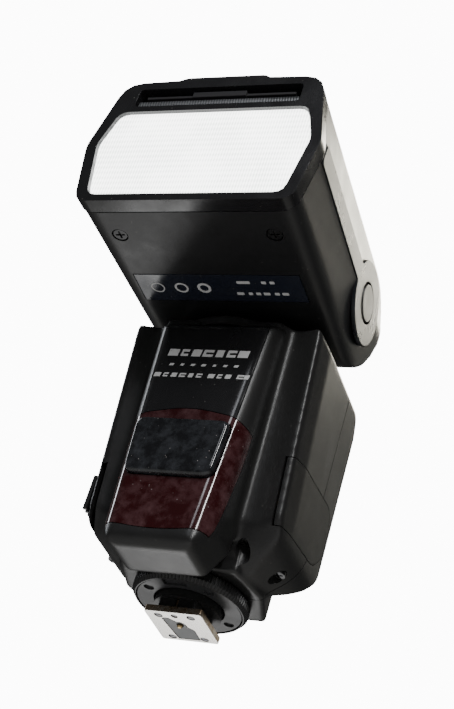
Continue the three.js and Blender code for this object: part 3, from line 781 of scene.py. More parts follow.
@dataclass(frozen=True)
class DustyLens(Finish):
    """A dark glossy window with a film of dust on it.

    Attributes:
        film: how much of the dust film shows, from 0 to 1.
    """

    film: float = 0.5

    def paint(self, graph: Graph, shader: bpy.types.Node) -> None:
        """Feeds the window's colour from its dust, and keeps its gloss.

        Args:
            graph: the material's graph.
            shader: its main shader.
        """
        dust = effect(graph, Effect.DUST, 1.5)
        marks = effect(graph, Effect.HANDLING, self.spread)
        cloud = graph.math("MULTIPLY", dust.outputs["Film"], self.film)
        cloudy = graph.mix(cloud, opaque(self.colour), opaque(self.worn))
        dusty = graph.mix(dust.outputs["Specks"], cloudy, opaque(PALE_DUST))
        graph.feed(shader.inputs["Base Color"], dusty)
        rough = graph.span(marks.outputs["Smear"], 0.0, 1.0, self.roughness, self.rubbed)
        graph.feed(shader.inputs["Roughness"], rough)
        grain = effect(graph, Effect.GRAIN, self.grain)
        graph.feed(shader.inputs["Normal"], graph.bump(grain.outputs["Height"], self.relief))


@dataclass(frozen=True)
class PrismLens(Finish):
    """Clear plastic with fine prism lines, painted shade between them, and painted light: emission that makes
    it shine with no lamp behind it.

    Attributes:
        pitch: the prism lines' spacing in millimetres.
        painted_glow: strength of the painted emission, which shines with no lamp behind it.
    """

    pitch: float = 0.9
    painted_glow: float = 0.6

    def paint(self, graph: Graph, shader: bpy.types.Node) -> None:
        """Feeds the prisms' height, the painted shade between them and the painted emission.

        Args:
            graph: the material's graph.
            shader: its main shader.
        """
        where = graph.place()
        parts = graph.node("ShaderNodeSeparateXYZ")
        graph.feed(parts.inputs[0], where)
        waves = []
        for socket, pitch in ((parts.outputs["X"], self.pitch), (parts.outputs["Z"], self.pitch * 2.4)):
            turns = graph.math("MULTIPLY", socket, math.tau / pitch)
            waves.append(graph.math("SINE", turns))
        height = graph.math("ADD", waves[0], graph.math("MULTIPLY", waves[1], 0.5))
        # Painted shade: darker between the prism lines, mixed with random cloudy tone.
        shade = graph.span(height, -1.5, 1.5)
        cloud = graph.noise(where, 0.05, 4.0, 0.6)
        tone = graph.math("ADD", graph.math("MULTIPLY", shade, 0.45), graph.math("MULTIPLY", cloud, 0.55))
        colour = graph.mix(graph.span(tone, 0.3, 0.62), opaque(self.worn), opaque(self.colour))
        graph.feed(shader.inputs["Base Color"], colour)
        # Painted light: the shaded colour is given out as emission, though no lamp is behind the part.
        graph.feed(shader.inputs["Emission Color"], colour)
        shader.inputs["Emission Strength"].default_value = self.painted_glow
        graph.feed(shader.inputs["Roughness"], graph.span(cloud, 0.3, 0.7, self.roughness, self.rubbed))
        graph.feed(shader.inputs["Normal"], graph.bump(height, self.relief))


@dataclass(frozen=True)
class EdgedCard(Finish):
    """A white card with painted shade over its front edge, where it lies in the head's slot.

    Attributes:
        edge: where the painted shade ends, as Y in millimetres.
        painted_slot_shade: the colour of the painted shade.
    """

    edge: float = -80.0
    painted_slot_shade: Colour = (0.01, 0.01, 0.011)

    def paint(self, graph: Graph, shader: bpy.types.Node) -> None:
        """Feeds the plain finish, then paints shade over the front edge.

        Args:
            graph: the material's graph.
            shader: its main shader.
        """
        super().paint(graph, shader)
        parts = graph.node("ShaderNodeSeparateXYZ")
        graph.feed(parts.inputs[0], graph.place())
        # Painted shade: the card is darkened in front of the edge, where it sits in the slot.
        painted_shade_mask = graph.span(parts.outputs["Y"], self.edge - 0.1, self.edge + 0.1, 1.0, 0.0)
        card = shader.inputs["Base Color"].links[0].from_socket
        graph.feed(shader.inputs["Base Color"], graph.mix(painted_shade_mask, card, opaque(self.painted_slot_shade)))


@dataclass(frozen=True)
class PlatedMetal(Finish):
    """Plated metal, brushed along Y, with tarnish on its cut sides.

    Attributes:
        tarnish: the colour of the tarnish.
    """

    tarnish: Colour = (0.32, 0.2, 0.09)

    def paint(self, graph: Graph, shader: bpy.types.Node) -> None:
        """Feeds brushed streaks, and tarnish on faces that look sideways.

        Args:
            graph: the material's graph.
            shader: its main shader.
        """
        streaks = graph.noise(graph.place((5.0, 0.16, 5.0)), 1.0, 4.0, 0.6)
        facing = graph.node("ShaderNodeSeparateXYZ")
        graph.feed(facing.inputs[0], graph.node("ShaderNodeNewGeometry").outputs["Normal"])
        level = graph.math("ABSOLUTE", facing.outputs["Z"])
        aside = graph.span(level, 0.25, 0.8, 0.85, 0.0)
        blotches = graph.span(graph.noise(graph.place(), 0.5, 3.0), 0.3, 0.6, 0.45, 1.0)
        patchy = graph.math("MULTIPLY", aside, blotches)
        base = graph.mix(graph.span(streaks, 0.3, 0.7), opaque(self.colour), opaque(self.worn))
        graph.feed(shader.inputs["Base Color"], graph.mix(patchy, base, opaque(self.tarnish)))
        graph.feed(shader.inputs["Roughness"], graph.span(streaks, 0.3, 0.7, self.roughness, self.rubbed))
        graph.feed(shader.inputs["Normal"], graph.bump(streaks, self.relief))


SHELL = Finish(
    "moulded_shell",
    "black_shell",
    colour=(0.016, 0.016, 0.016),
    worn=(0.026, 0.026, 0.026),
    roughness=0.36,
    rubbed=0.28,
)
LOWER = Finish(
    "black_shell_fine",
    "black_shell",
    colour=(0.012, 0.012, 0.013),
    worn=(0.02, 0.02, 0.022),
    roughness=0.36,
    rubbed=0.28,
    relief=0.008,
)
GLOSS = Finish(
    "polished_black",
    "black_gloss",
    colour=(0.012, 0.012, 0.013),
    worn=(0.018, 0.018, 0.02),
    roughness=0.18,
    rubbed=0.3,
    relief=0.002,
)
TRIM = Finish(
    "slate_trim",
    "grey_trim",
    colour=(0.012, 0.014, 0.017),
    worn=(0.02, 0.023, 0.028),
    roughness=0.3,
    rubbed=0.24,
)
RUBBER = Finish(
    "soft_rubber",
    "black_rubber",
    colour=(0.012, 0.012, 0.012),
    worn=(0.022, 0.022, 0.022),
    roughness=0.42,
    rubbed=0.34,
    relief=0.02,
)
RED = DustyLens(
    "dusty_red",
    "red_lens",
    colour=(0.028, 0.0016, 0.0024),
    worn=(0.1, 0.046, 0.05),
    roughness=0.07,
    rubbed=0.16,
    relief=0.001, coat=0.4, film=0.8,
)
SENSOR = DustyLens(
    "sensor_glass",
    "black_gloss",
    colour=(0.008, 0.0085, 0.01),
    worn=(0.05, 0.054, 0.062),
    roughness=0.06,
    rubbed=0.16,
    relief=0.001, coat=0.4, film=0.8,
)
# The flash window: worn here is the darker end of painted shade between the prism lines and of random cloud,
# and it shines by painted emission with no lamp behind it.
LENS = PrismLens(
    "prism_lens",
    "clear_lens",
    colour=(0.97, 0.975, 0.96),
    worn=(0.55, 0.58, 0.56),
    roughness=0.2,
    rubbed=0.35,
    relief=0.05, painted_glow=6.0,
)
# Clear parts: worn here is the darker end of painted shade between the prism lines and of random cloud; they
# have no painted emission.
CLEAR = PrismLens(
    "clear_panel",
    "clear_lens",
    colour=(0.1, 0.105, 0.11),
    worn=(0.03, 0.032, 0.034),
    roughness=0.08,
    rubbed=0.2,
    relief=0.03, painted_glow=0.0,
)
PLATE = PlatedMetal(
    "plated_foot",
    "foot_metal",
    colour=(0.93, 0.91, 0.87),
    worn=(0.8, 0.78, 0.73),
    roughness=0.22,
    rubbed=0.36,
    relief=0.004, metallic=1.0,
)
STEEL = PlatedMetal(
    "turned_steel",
    "steel",
    colour=(0.3, 0.3, 0.31),
    worn=(0.2, 0.2, 0.21),
    roughness=0.3,
    rubbed=0.45,
    relief=0.004, metallic=1.0,
)
BRASS = PlatedMetal(
    "plated_brass",
    "brass",
    colour=(0.72, 0.56, 0.3),
    worn=(0.5, 0.36, 0.18),
    roughness=0.25,
    rubbed=0.4,
    relief=0.004, metallic=1.0,
)
BLACK_STEEL = PlatedMetal(
    "blackened_steel",
    "steel",
    colour=(0.05, 0.05, 0.052),
    worn=(0.1, 0.1, 0.1),
    roughness=0.3,
    rubbed=0.45,
    relief=0.004, metallic=1.0, tarnish=(0.03, 0.03, 0.03),
)
GREY = Finish(
    "mid_grey",
    "grey_plastic",
    colour=(0.16, 0.165, 0.17),
    worn=(0.22, 0.22, 0.22),
    roughness=0.45,
    rubbed=0.35,
)
DARK_GREY = Finish(
    "dark_grey_plastic",
    "grey_plastic",
    colour=(0.03, 0.031, 0.033),
    worn=(0.055, 0.055, 0.057),
    roughness=0.42,
    rubbed=0.3,
)
LABEL = Finish(
    "label_foil",
    "label_print",
    colour=(0.016, 0.019, 0.03),
    worn=(0.03, 0.034, 0.05),
    roughness=0.16,
    rubbed=0.26,
    relief=0.002,
)
PRINT = Finish(
    "white_print",
    "white_card",
    colour=(0.78, 0.78, 0.78),
    worn=(0.6, 0.6, 0.6),
    roughness=0.5,
    rubbed=0.4,
    relief=0.004,
)
# The bounce card: white, with painted shade over its front edge.
CARD = EdgedCard(
    "card_white",
    "white_card",
    colour=(0.82, 0.82, 0.8),
    worn=(0.7, 0.7, 0.68),
    roughness=0.6,
    rubbed=0.5,
    relief=0.01,
)
MIRROR = Finish(
    "bright_mirror",
    "reflector_metal",
    colour=(0.9, 0.9, 0.91),
    worn=(0.8, 0.8, 0.82),
    roughness=0.1,
    rubbed=0.2,
    metallic=1.0,
)
BOARD = Finish(
    "solder_mask",
    "circuit_board",
    colour=(0.02, 0.12, 0.05),
    worn=(0.04, 0.2, 0.08),
    roughness=0.3,
    rubbed=0.4,
    relief=0.02,
)
SCREEN = Finish(
    "display_glass",
    "clear_lens",
    colour=(0.012, 0.014, 0.014),
    worn=(0.03, 0.034, 0.034),
    roughness=0.08,
    rubbed=0.22,
    relief=0.001,
)


def dress(piece: bpy.types.Object, finish: Finish, body: str, nodes: Sequence[str] = ()) -> bpy.types.Object:
    """Gives a piece its one material and its body, and hides the frame nodes that it stands for.

    Args:
        piece: the finished object.
        finish: its finish.
        body: the frame body it moves with.
        nodes: frame nodes that it stands for.

    Returns:
        The same object.
    """
    piece.data.materials.clear()
    piece.data.materials.append(finish.material())
    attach(piece, body)
    if nodes:
        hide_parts(*nodes)
    LOG.info("%s rides on %s", piece.name, body)
    return piece


@dataclass(frozen=True)
class Cast:
    """A piece made from its own frame node, with rounded edges.

    Attributes:
        node: the frame node.
        finish: its finish.
        body: the frame body.
        bevel: edge rounding in millimetres.
        segments: steps across the rounding.
    """

    node: str
    finish: Finish
    body: str
    bevel: float = 0.2
    segments: int = 2

    def build(self) -> bpy.types.Object:
        """Copies, rounds over and dresses the piece."""
        piece = casting(self.node, f"{self.node}_finished")
        soften(piece, self.bevel, self.segments)
        return dress(piece, self.finish, self.body, (self.node,))


# ---- Sub-assemblies ----


@dataclass
class Foot:
    """The metal foot, its insert, screws, contact and lock."""

    teeth: int = 96
    tooth_depth: float = 0.4
    pieces: list[Cast] = field(
        default_factory=lambda: [
            Cast("foot_plate", PLATE, "body", 0.25),
            Cast("foot_insert", GREY, "body", 0.08),
            Cast("foot_stem", SHELL, "body", 0.3),
            Cast("centre_contact", BRASS, "contact", 0.1),
            Cast("lock_pin", STEEL, "pin", 0.1),
            Cast("clamp_plate", DARK_GREY, "clamp", 0.15),
            *[
                Cast(f"foot_screw_{end}_{side}", STEEL, "body", 0.08)
                for end in ("front", "back")
                for side in ("left", "right")
            ],
        ]
    )

    def build(self) -> None:
        """Makes every piece."""
        for piece in self.pieces:
            piece.build()
        self.build_ring()

    def build_ring(self) -> None:
        """The knurled ring: a spun profile whose outer band is drawn in between the ridges."""
        low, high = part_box("lock_ring")
        outer = high.x / MM
        bottom, top = low.z / MM, high.z / MM
        bore, pocket, ledge = 11.2, 16.8, 9.9
        profile = [
            (bore, top),
            (outer - 0.8, top),
            (outer, top - 0.7),
            (outer, bottom + 1.3),
            (outer - 1.1, bottom),
            (pocket, bottom),
            (pocket, ledge),
            (bore, ledge),
        ]
        ring = turned("lock_ring_knurled", profile, self.teeth * 4, (0, 0, 0), Axis.Z)
        step = math.tau / (self.teeth * 4)

        def in_groove(place: Vector, normal: Vector) -> bool:
            """True for an outer vertex that lies between two ridges."""
            turn = round(math.atan2(place.y, place.x) / step) % 4
            return turn in (0, 1) and math.hypot(place.x, place.y) > outer - 0.5

        with editing(ring):
            pick(ring, "VERT", in_groove)
            shrink = 1 - self.tooth_depth / outer
            bpy.ops.transform.resize(value=(shrink, shrink, 1), center_override=(0, 0, 0))
        select(ring)
        bpy.ops.object.shade_smooth_by_angle(angle=math.radians(28))
        dress(ring, SHELL, "ring", ("lock_ring",))


GAP = 0.3
WALL = 2.2


@dataclass
class BodyForm:
    """The body's flowing outside and the spaces in it, in millimetres."""

    half: float = 33.0
    back: float = 17.4
    bottom: float = 12.8
    crown: float = 90.4
    shoulder: float = 90.0
    lean: float = 0.144
    narrowing: float = 0.05
    nose_front: float = -39.2
    nose_half: Pair = (13.4, 17.9)
    nose_side: Pair = (17.4, 21.0)
    roll: float = 4.6
    nose_levels: Pair = (6.3, 86.4)
    grid: float = 0.62
    rounds: int = 18
    cover_floor: float = 28.7
    door_floor: float = -29.0
    screw_head_bore: float = 2.45
    screw_shank_bore: float = 1.5

    def leant(self, place: Vector) -> Vector:
        """Moves a point of the front back and in for its height.

        Args:
            place: the point in millimetres.

        Returns:
            The point moved.
        """
        if place.y > -20:
            return place
        drop = self.shoulder - place.z
        inward = self.narrowing * drop if 1 < abs(place.x) < 25 else 0.0
        return Vector((place.x - math.copysign(inward, place.x), place.y + self.lean * drop, place.z))

    def column(self, margin: float, low: float, high: float) -> bpy.types.Object:
        """The nose's plan drawn up between two heights, inset by a margin.

        Args:
            margin: how far in its sides are.
            low: the lower level.
            high: the upper level.

        Returns:
            The new object.
        """
        front = self.nose_front + margin
        side = self.nose_side[1] - margin
        foot, top = self.nose_half
        z0, z1 = self.nose_levels

        def narrowed(place: Vector) -> Vector:
            """Narrows the nose downwards, its front face fastest.

            Args:
                place: the point in millimetres.

            Returns:
                The point moved.
            """
            height = (place.z - z0) / (z1 - z0)
            face = (foot + (top - foot) * height) / top
            flank = (self.nose_side[0] + (self.nose_side[1] - self.nose_side[0]) * height) / self.nose_side[1]
            nearness = max(0.0, 1 - (place.y - front) / self.roll)
            return Vector((place.x * (flank + (face - flank) * nearness), place.y, place.z))

        plan = mirrored([(top - 0.5 * margin, front, 3), (side, front + self.roll, 3), (side, -20.8)])
        return reshape(prism(Axis.Z, plan, low, high), narrowed)

    def blank(self) -> bpy.types.Object:
        """The whole outside with soft edges and blends, and no openings."""
        plan = mirrored(
            [
                (19, -36),
                (22.6, -31, 4),
                (31.4, -32.8, 1.2),
                (33, -24),
                (33, 11.5),
                (32.2, 16.4, 2.4),
                (24, 17.4, 4),
            ]
        )
        base = reshape(prism(Axis.Z, plan, 6, self.crown + 1), self.leant)
        side = [
            (-42, 30),
            (-24, 28, 3),
            (-17.5, 17, 4),
            (-11, self.bottom, 3),
            (-4, self.bottom, 2),
            (1, 13.4, 2),
            (9, 19.4, 4),
            (self.back, 31, 5),
            (self.back, 79, 6),
            (9, self.crown, 6),
            (-4, self.crown, 6),
            (-42, 89.8),
        ]
        keep_within(base, prism(Axis.X, side, -40, 40))
        front = mirrored([(21, self.bottom, 3), (33, 22, 7), (33, 87.4), (30.6, self.crown)])
        keep_within(base, prism(Axis.Y, front, -45, 25))
        low, high = self.nose_levels
        f = self.nose_front
        profile = [
            (-20.8, low),
            (-20.8, high + 2.4),
            (f + 1.6, high, 0.8),
            (f, high - 2, 1),
            (f, low + 2.4, 1.6),
            (f + 2.2, low, 1.6),
        ]
        nose = self.column(0, low - 1, self.crown)
        keep_within(nose, prism(Axis.X, profile, -30, 30))
        chin = mirrored([(12.6, low, 2), (17.4, 14, 3), (23, 24), (23, self.crown)])
        keep_within(nose, prism(Axis.Y, chin, -45, 0))
        collar = turned("tool", [(0, 12.1), (18.8, 12.1), (22.5, 19), (0, 19)], 48, (0, 0, 0), Axis.Z)
        keep_within(collar, plate((-25, -25, 12), (25, 15.4, 19)))
        web = prism(Axis.Z, [(-19, -16), (19, -16), (23, 0), (19, 15.6), (-19, 15.6), (-23, 0)], 12.1, 24)
        fuse(base, nose, collar, web)
        flow(base, self.grid, self.rounds)
        return base

    def red_space(self, margin: float) -> bpy.types.Object:
        """The space that the red window fills.

        Args:
            margin: how much larger it is all round.

        Returns:
            The new object.
        """
        m = margin
        view = [
            (-22, 47.2 + m),
            (-16, 50.6 + m, 3),
            (0, 53.8 + m, 8),
            (16, 50.6 + m, 3),
            (22, 47.2 + m),
            (22, 12.6 - m),
            (14, 12.6 - m, 3),
            (0, 11.2 - m, 8),
            (-14, 12.6 - m, 3),
            (-22, 12.6 - m),
        ]
        side = [(-45, 8), (-35.4 + m, 8), (-33.4 + m, 20, 5), (-31.2 + m, 40, 6), (-33.2 + m, 58), (-45, 58)]
        space = prism(Axis.Y, view, -45, -25)
        keep_within(space, prism(Axis.X, side, -25, 25))
        return space

    def panel_corners(self, margin: float) -> list[Sequence[float]]:
        """The marked front panel's outline."""
        low, high = 46.2, 85.2
        half = [13.0 + 4.4 * (z - 6.3) / 80.1 + margin for z in (low, high)]
        return mirrored([(half[0], low - margin), (half[1], high + margin, 1)])

    def sensor_corners(self, margin: float) -> list[Sequence[float]]:
        """The sensor window's outline."""
        return mirrored([(14.2 + margin, 29.2 - margin, 3.6), (15.4 + margin, 48.6 + margin, 3.6)])

    def cover_corners(self, margin: float) -> list[Sequence[float]]:
        """The terminal cover's outline in side view.

        Args:
            margin: how much larger it is all round.

        Returns:
            The outline in millimetres.
        """
        m = margin
        return [
            (-29.6 - m, 24.5 - m, 2),
            (6, 28 - m, 3),
            (11.6 + m, 34, 3),
            (11.8 + m, 45, 3),
            (8, 49.6 + m, 3),
            (-26, 46.8 + m, 2),
            (-29.6 - m, 42.5, 2),
        ]

    def door_corners(self, margin: float) -> list[Sequence[float]]:
        """The battery door's outline in side view."""
        m = margin
        low, high = (-25 - m, 20 - m), (8.4 + m, 84 + m)
        return [(*low, 2), (high[0], low[1], 2), (*high, 2), (low[0], high[1], 2)]

    def cavity(self) -> list[bpy.types.Object]:
        """Tools for the space inside."""
        plan = mirrored([(16, -28.6), (29.2, -28.6), (30.8, -22), (30.8, 4.4), (28.9, 12.4), (22, 15.2)])
        room = reshape(prism(Axis.Z, plan, 24.5, 85), self.leant)
        side = [(-40, 24.5), (8, 24.5), (15.2, 32), (15.2, 78), (9, 85), (-40, 85)]
        keep_within(room, prism(Axis.X, side, -40, 40))
        cut_away(room, plate((25.8, -31, 21), (34, 13, 53)))
        keep_within(room, prism(Axis.Y, mirrored([(24, 24.5), (30.8, 30), (30.8, 85)]), -45, 25))
        return [room, self.column(WALL + 1.7, 24.5, 82), peg(Axis.Z, 10.9, 5, 30, (0, 0))]

    def front_tools(self) -> list[bpy.types.Object]:
        """Tools for the openings of the front shell."""
        red = self.red_space(GAP)
        cut_away(red, self.column(2.0, 0, 95))
        power = [(-6.8, 31.3, 1.5), (4.8, 31.3, 1.5), (4.8, 40.7, 1.5), (-6.8, 40.7, 1.5)]
        return [
            red,
            prism(Axis.Y, self.panel_corners(GAP), -45, -37.3),
            prism(Axis.Y, self.sensor_corners(GAP), -45, -36),
            prism(Axis.X, self.cover_corners(GAP), self.cover_floor, 40),
            prism(Axis.X, self.door_corners(GAP), -40, self.door_floor),
            peg(Axis.X, 3.9, 20, 40, (-18, 36)),
            prism(Axis.X, power, 20, 40),
        ]

    def shared_tools(self) -> list[bpy.types.Object]:
        """Tools for the openings that both shells share."""
        table = peg(Axis.Z, 25.1, 87.4, 100, (0, -12), 64)
        hub = peg(Axis.Z, 8.9, 84, 90, (0, -12))
        return [table, hub, *self.screw_tools()]

    def screw_tools(self) -> list[bpy.types.Object]:
        """Tools for the screw holes under the body, each a head bore and a shank bore."""
        tools = []
        for word in ("front_left", "front_right", "back_left", "back_right"):
            low, high = (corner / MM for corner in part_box(f"body_screw_{word}"))
            middle = (low + high) / 2
            tools.append(peg(Axis.Z, self.screw_head_bore, 4, low.z + 2, (middle.x, middle.y)))
            tools.append(peg(Axis.Z, self.screw_shank_bore, 8, high.z + 0.3, (middle.x, middle.y), 12))
        return tools

    def rear_tools(self) -> list[bpy.types.Object]:
        """Tools for the rear shell's display, keys and pad."""
        tools = []
        for node in ("display_window", *(f"function_key_{i}" for i in (1, 2, 3, 4))):
            low, high = (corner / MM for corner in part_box(node))
            frame_line = rounded((low.x - GAP, low.z - GAP), (high.x + GAP, high.z + GAP), 1.4)
            tools.append(slab("tool", frame_line, Axis.Y, 10, 25))
        for node in ("selector_pad", "pilot_button", "power_button"):
            low, high = (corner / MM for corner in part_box(node))
            middle = (low + high) / 2
            tools.append(peg(Axis.Y, (high.x - low.x) / 2 + GAP, 10, 25, (middle.x, middle.z), 48))
        return tools


@dataclass
class Body:
    """The battery body: shells, windows, covers and what is behind them."""

    form: BodyForm = field(default_factory=BodyForm)
    pieces: list[Cast] = field(
        default_factory=lambda: [
            Cast("battery_box", SHELL, "body", 0.2),
            Cast("main_capacitor", GLOSS, "body", 0.6),
            Cast("main_board", BOARD, "body", 0.1),
            Cast("sync_socket", BRASS, "body", 0.15),
            Cast("power_socket", SHELL, "body", 0.15),
            Cast("display_module", GREY, "body", 0.2),
            *[
                Cast(f"body_screw_{end}_{side}", BLACK_STEEL, "body", 0.08)
                for end in ("front", "back")
                for side in ("left", "right")
            ],
        ]
    )

    def build(self) -> None:
        """Makes every piece."""
        for piece in self.pieces:
            piece.build()
        blank = self.form.blank()
        self.build_shells(blank)
        self.build_nose(blank)
        self.build_covers(blank)
        bpy.data.objects.remove(blank)

    def build_shells(self, blank: bpy.types.Object) -> None:
        """The front and rear shells, parted at the seam.

        Args:
            blank: the body's whole outside.
        """
        front = copied(blank, "body_front_shell_moulded")
        rear = copied(blank, "body_rear_shell_moulded")
        halved(front, (0, 0.45, 0), (0, 1, 0))
        halved(rear, (0, 0.75, 0), (0, -1, 0))
        cut_all(front, [*self.form.cavity(), *self.form.shared_tools(), *self.form.front_tools()])
        door_and_cover = [
            prism(Axis.X, self.form.cover_corners(GAP), self.form.cover_floor, 40),
            prism(Axis.X, self.form.door_corners(GAP), -40, self.form.door_floor),
        ]
        rear_tools = [*self.form.shared_tools(), *self.form.rear_tools(), *door_and_cover]
        cut_all(rear, [*self.form.cavity(), *rear_tools])
        dress(smooth_shaded(front), SHELL, "body", ("body_front_shell",))
        dress(smooth_shaded(rear), SHELL, "body", ("body_rear_shell",))

    def build_nose(self, blank: bpy.types.Object) -> None:
        """The marked panel, the red window and the sensor window.

        Args:
            blank: the body's whole outside.
        """
        form = self.form
        panel = copied(blank, "nose_panel_moulded")
        keep_within(panel, prism(Axis.Y, form.panel_corners(0), -45, -37.6))
        cut_away(panel, form.red_space(GAP))
        dress(smooth_shaded(panel), GLOSS, "body", ("nose_panel",))
        red = copied(blank, "red_window_moulded")
        keep_within(red, form.red_space(0))
        cut_away(red, form.column(1.7, 0, 95))
        cut_away(red, prism(Axis.Y, form.sensor_corners(GAP), -50, -20))
        dress(smooth_shaded(red), RED, "body", ("red_window",))
        low, high = (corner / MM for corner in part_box("sensor_window"))
        sensor = slab("sensor_window_moulded", eased(form.sensor_corners(0), 8), Axis.Y, low.y, high.y)
        soften(sensor, 1.3, 5, 50)
        dress(sensor, SENSOR, "body", ("sensor_window",))

    def build_covers(self, blank: bpy.types.Object) -> None:
        """The terminal cover and the battery door, which follow the body's outside.

        Args:
            blank: the body's whole outside.
        """
        form = self.form
        cover = copied(blank, "terminal_cover_moulded")
        keep_within(cover, prism(Axis.X, form.cover_corners(0), 29.5, 40))
        dress(smooth_shaded(cover), RUBBER, "terminal_cover", ("terminal_cover",))
        door = copied(blank, "battery_door_moulded")
        keep_within(door, prism(Axis.X, form.door_corners(0), -40, -30.8))
        cut_all(door, [plate((-34, -22 + 2 * i, 26), (-32.75, -21 + 2 * i, 38)) for i in range(5)])
        dress(smooth_shaded(door), SHELL, "battery_door", ("battery_door",))


@dataclass
class Controls:
    """The rear display, keys and pad."""

    pieces: list[Cast] = field(
        default_factory=lambda: [
            Cast("display_window", SCREEN, "body", 0.2),
            *[Cast(f"function_key_{i}", RUBBER, f"key_{i}", 0.4, 3) for i in (1, 2, 3, 4)],
            Cast("selector_pad", RUBBER, "selector", 0.4, 3),
            Cast("ok_button", TRIM, "ok", 0.4, 3),
            Cast("pilot_button", CLEAR, "pilot", 0.4, 3),
            Cast("power_button", RUBBER, "power", 0.4, 3),
        ]
    )

    def build(self) -> None:
        """Makes every piece."""
        for piece in self.pieces:
            piece.build()


@dataclass
class HeadForm:
    """The head's outside and the spaces in it, in millimetres."""

    front: float = -85.6
    shell_front: float = -80.0
    bottom: float = 95.2
    bottom_half: float = 35.0
    kink: Pair = (38.7, 118.3)
    top: Pair = (33.2, 145.2)
    crown: float = 146.2
    taper: float = 0.00102
    rear_radius: float = 21.2
    pivot: Pair = (-12.0, 116.4)
    drum: float = 21.0
    slot_half: float = 17.8

    def corners(self, inset: float) -> list[Sequence[float]]:
        """The head's front view.

        Args:
            inset: how far in it is.

        Returns:
            The outline in millimetres.
        """
        return mirrored(
            [
                (self.bottom_half - inset, self.bottom + inset, 5),
                (self.kink[0] - inset, self.kink[1], 3),
                (self.top[0] - inset, self.top[1] - inset, 7),
                (4, self.crown - inset, 2),
            ]
        )

    def profile(self, inset: float) -> list[Sequence[float]]:
        """The head's side view.

        Args:
            inset: how far in it is.

        Returns:
            The outline in millimetres.
        """
        rear = arc(self.pivot, self.rear_radius - inset, -90, 0, 17)
        back = self.pivot[0] + self.rear_radius - inset
        return [
            (self.front - 8, self.bottom + inset),
            *rear,
            (back, 138 - inset, 8),
            (-6, self.crown - inset, 8),
            (self.front - 8, self.crown - inset),
        ]

    def tapered(self, place: Vector) -> Vector:
        """Narrows the head towards the rear."""
        return Vector((place.x * (1 - self.taper * (place.y - self.front)), place.y, place.z))

    def solid(self, inset: float) -> bpy.types.Object:
        """The head's outside, inset by a margin."""
        body = reshape(prism(Axis.Y, self.corners(inset), self.front - 6, 20), self.tapered)
        keep_within(body, prism(Axis.X, self.profile(inset), -45, 45))
        return body

    def trim_corners(self, margin: float) -> list[Pair]:
        """The side trim's outline: a strip that widens to a round boss.

        Args:
            margin: how much larger it is all round.

        Returns:
            The outline in millimetres.
        """
        (y, z), radius = self.pivot, 14.2 + margin
        start = 180 + math.degrees(math.asin((z - 114.9 + margin) / radius))
        end = 540 - math.degrees(math.asin((122.6 + margin - z) / radius))
        return [
            *eased([(-79.4 - margin, 122.6 + margin), (-79.4 - margin, 114.9 - margin)]),
            *arc((y, z), radius, start, end, 49),
        ]

    def beside(self, piece: bpy.types.Object, side: int) -> bpy.types.Object:
        """Lays a piece made square to X along the head's tapering side.

        Args:
            piece: the object.
            side: 1 for the right side, -1 for the left.

        Returns:
            The same object.
        """
        turn = Matrix.Rotation(math.atan(self.kink[0] * self.taper), 3, "Z")
        origin = Vector((self.kink[0], self.front, 0))
        reshape(piece, lambda p: turn @ (p - origin) + origin)
        if side < 0:
            reshape(piece, lambda p: Vector((-p.x, p.y, p.z)))
            recalculate(piece)
        return piece

    def tools(self) -> list[bpy.types.Object]:
        """Tools for the inside, the drum, the trims, the label and the screws."""
        inner = self.solid(WALL)
        floor = self.kink[0] - 1.7
        beds = [
            self.beside(slab("tool", self.trim_corners(GAP), Axis.X, floor - GAP, 50), side)
            for side in (1, -1)
        ]
        low, high = (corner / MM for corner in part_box("label_plate"))
        label = plate((low.x - GAP, low.y - GAP, 90), (high.x + GAP, high.y + GAP, 95.9))
        screws = []
        for word in ("left", "right"):
            a, b = (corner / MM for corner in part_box(f"head_screw_{word}"))
            middle = (a + b) / 2
            screws.append(peg(Axis.Z, 2.7, 90, 96.6, (middle.x, middle.y)))
        half = self.slot_half
        return [
            inner,
            *beds,
            label,
            *screws,
            peg(Axis.X, self.drum, -half, half, self.pivot, 64),
            plate((-half, -20.5, 90), (half, 20, 125.6)),
        ]


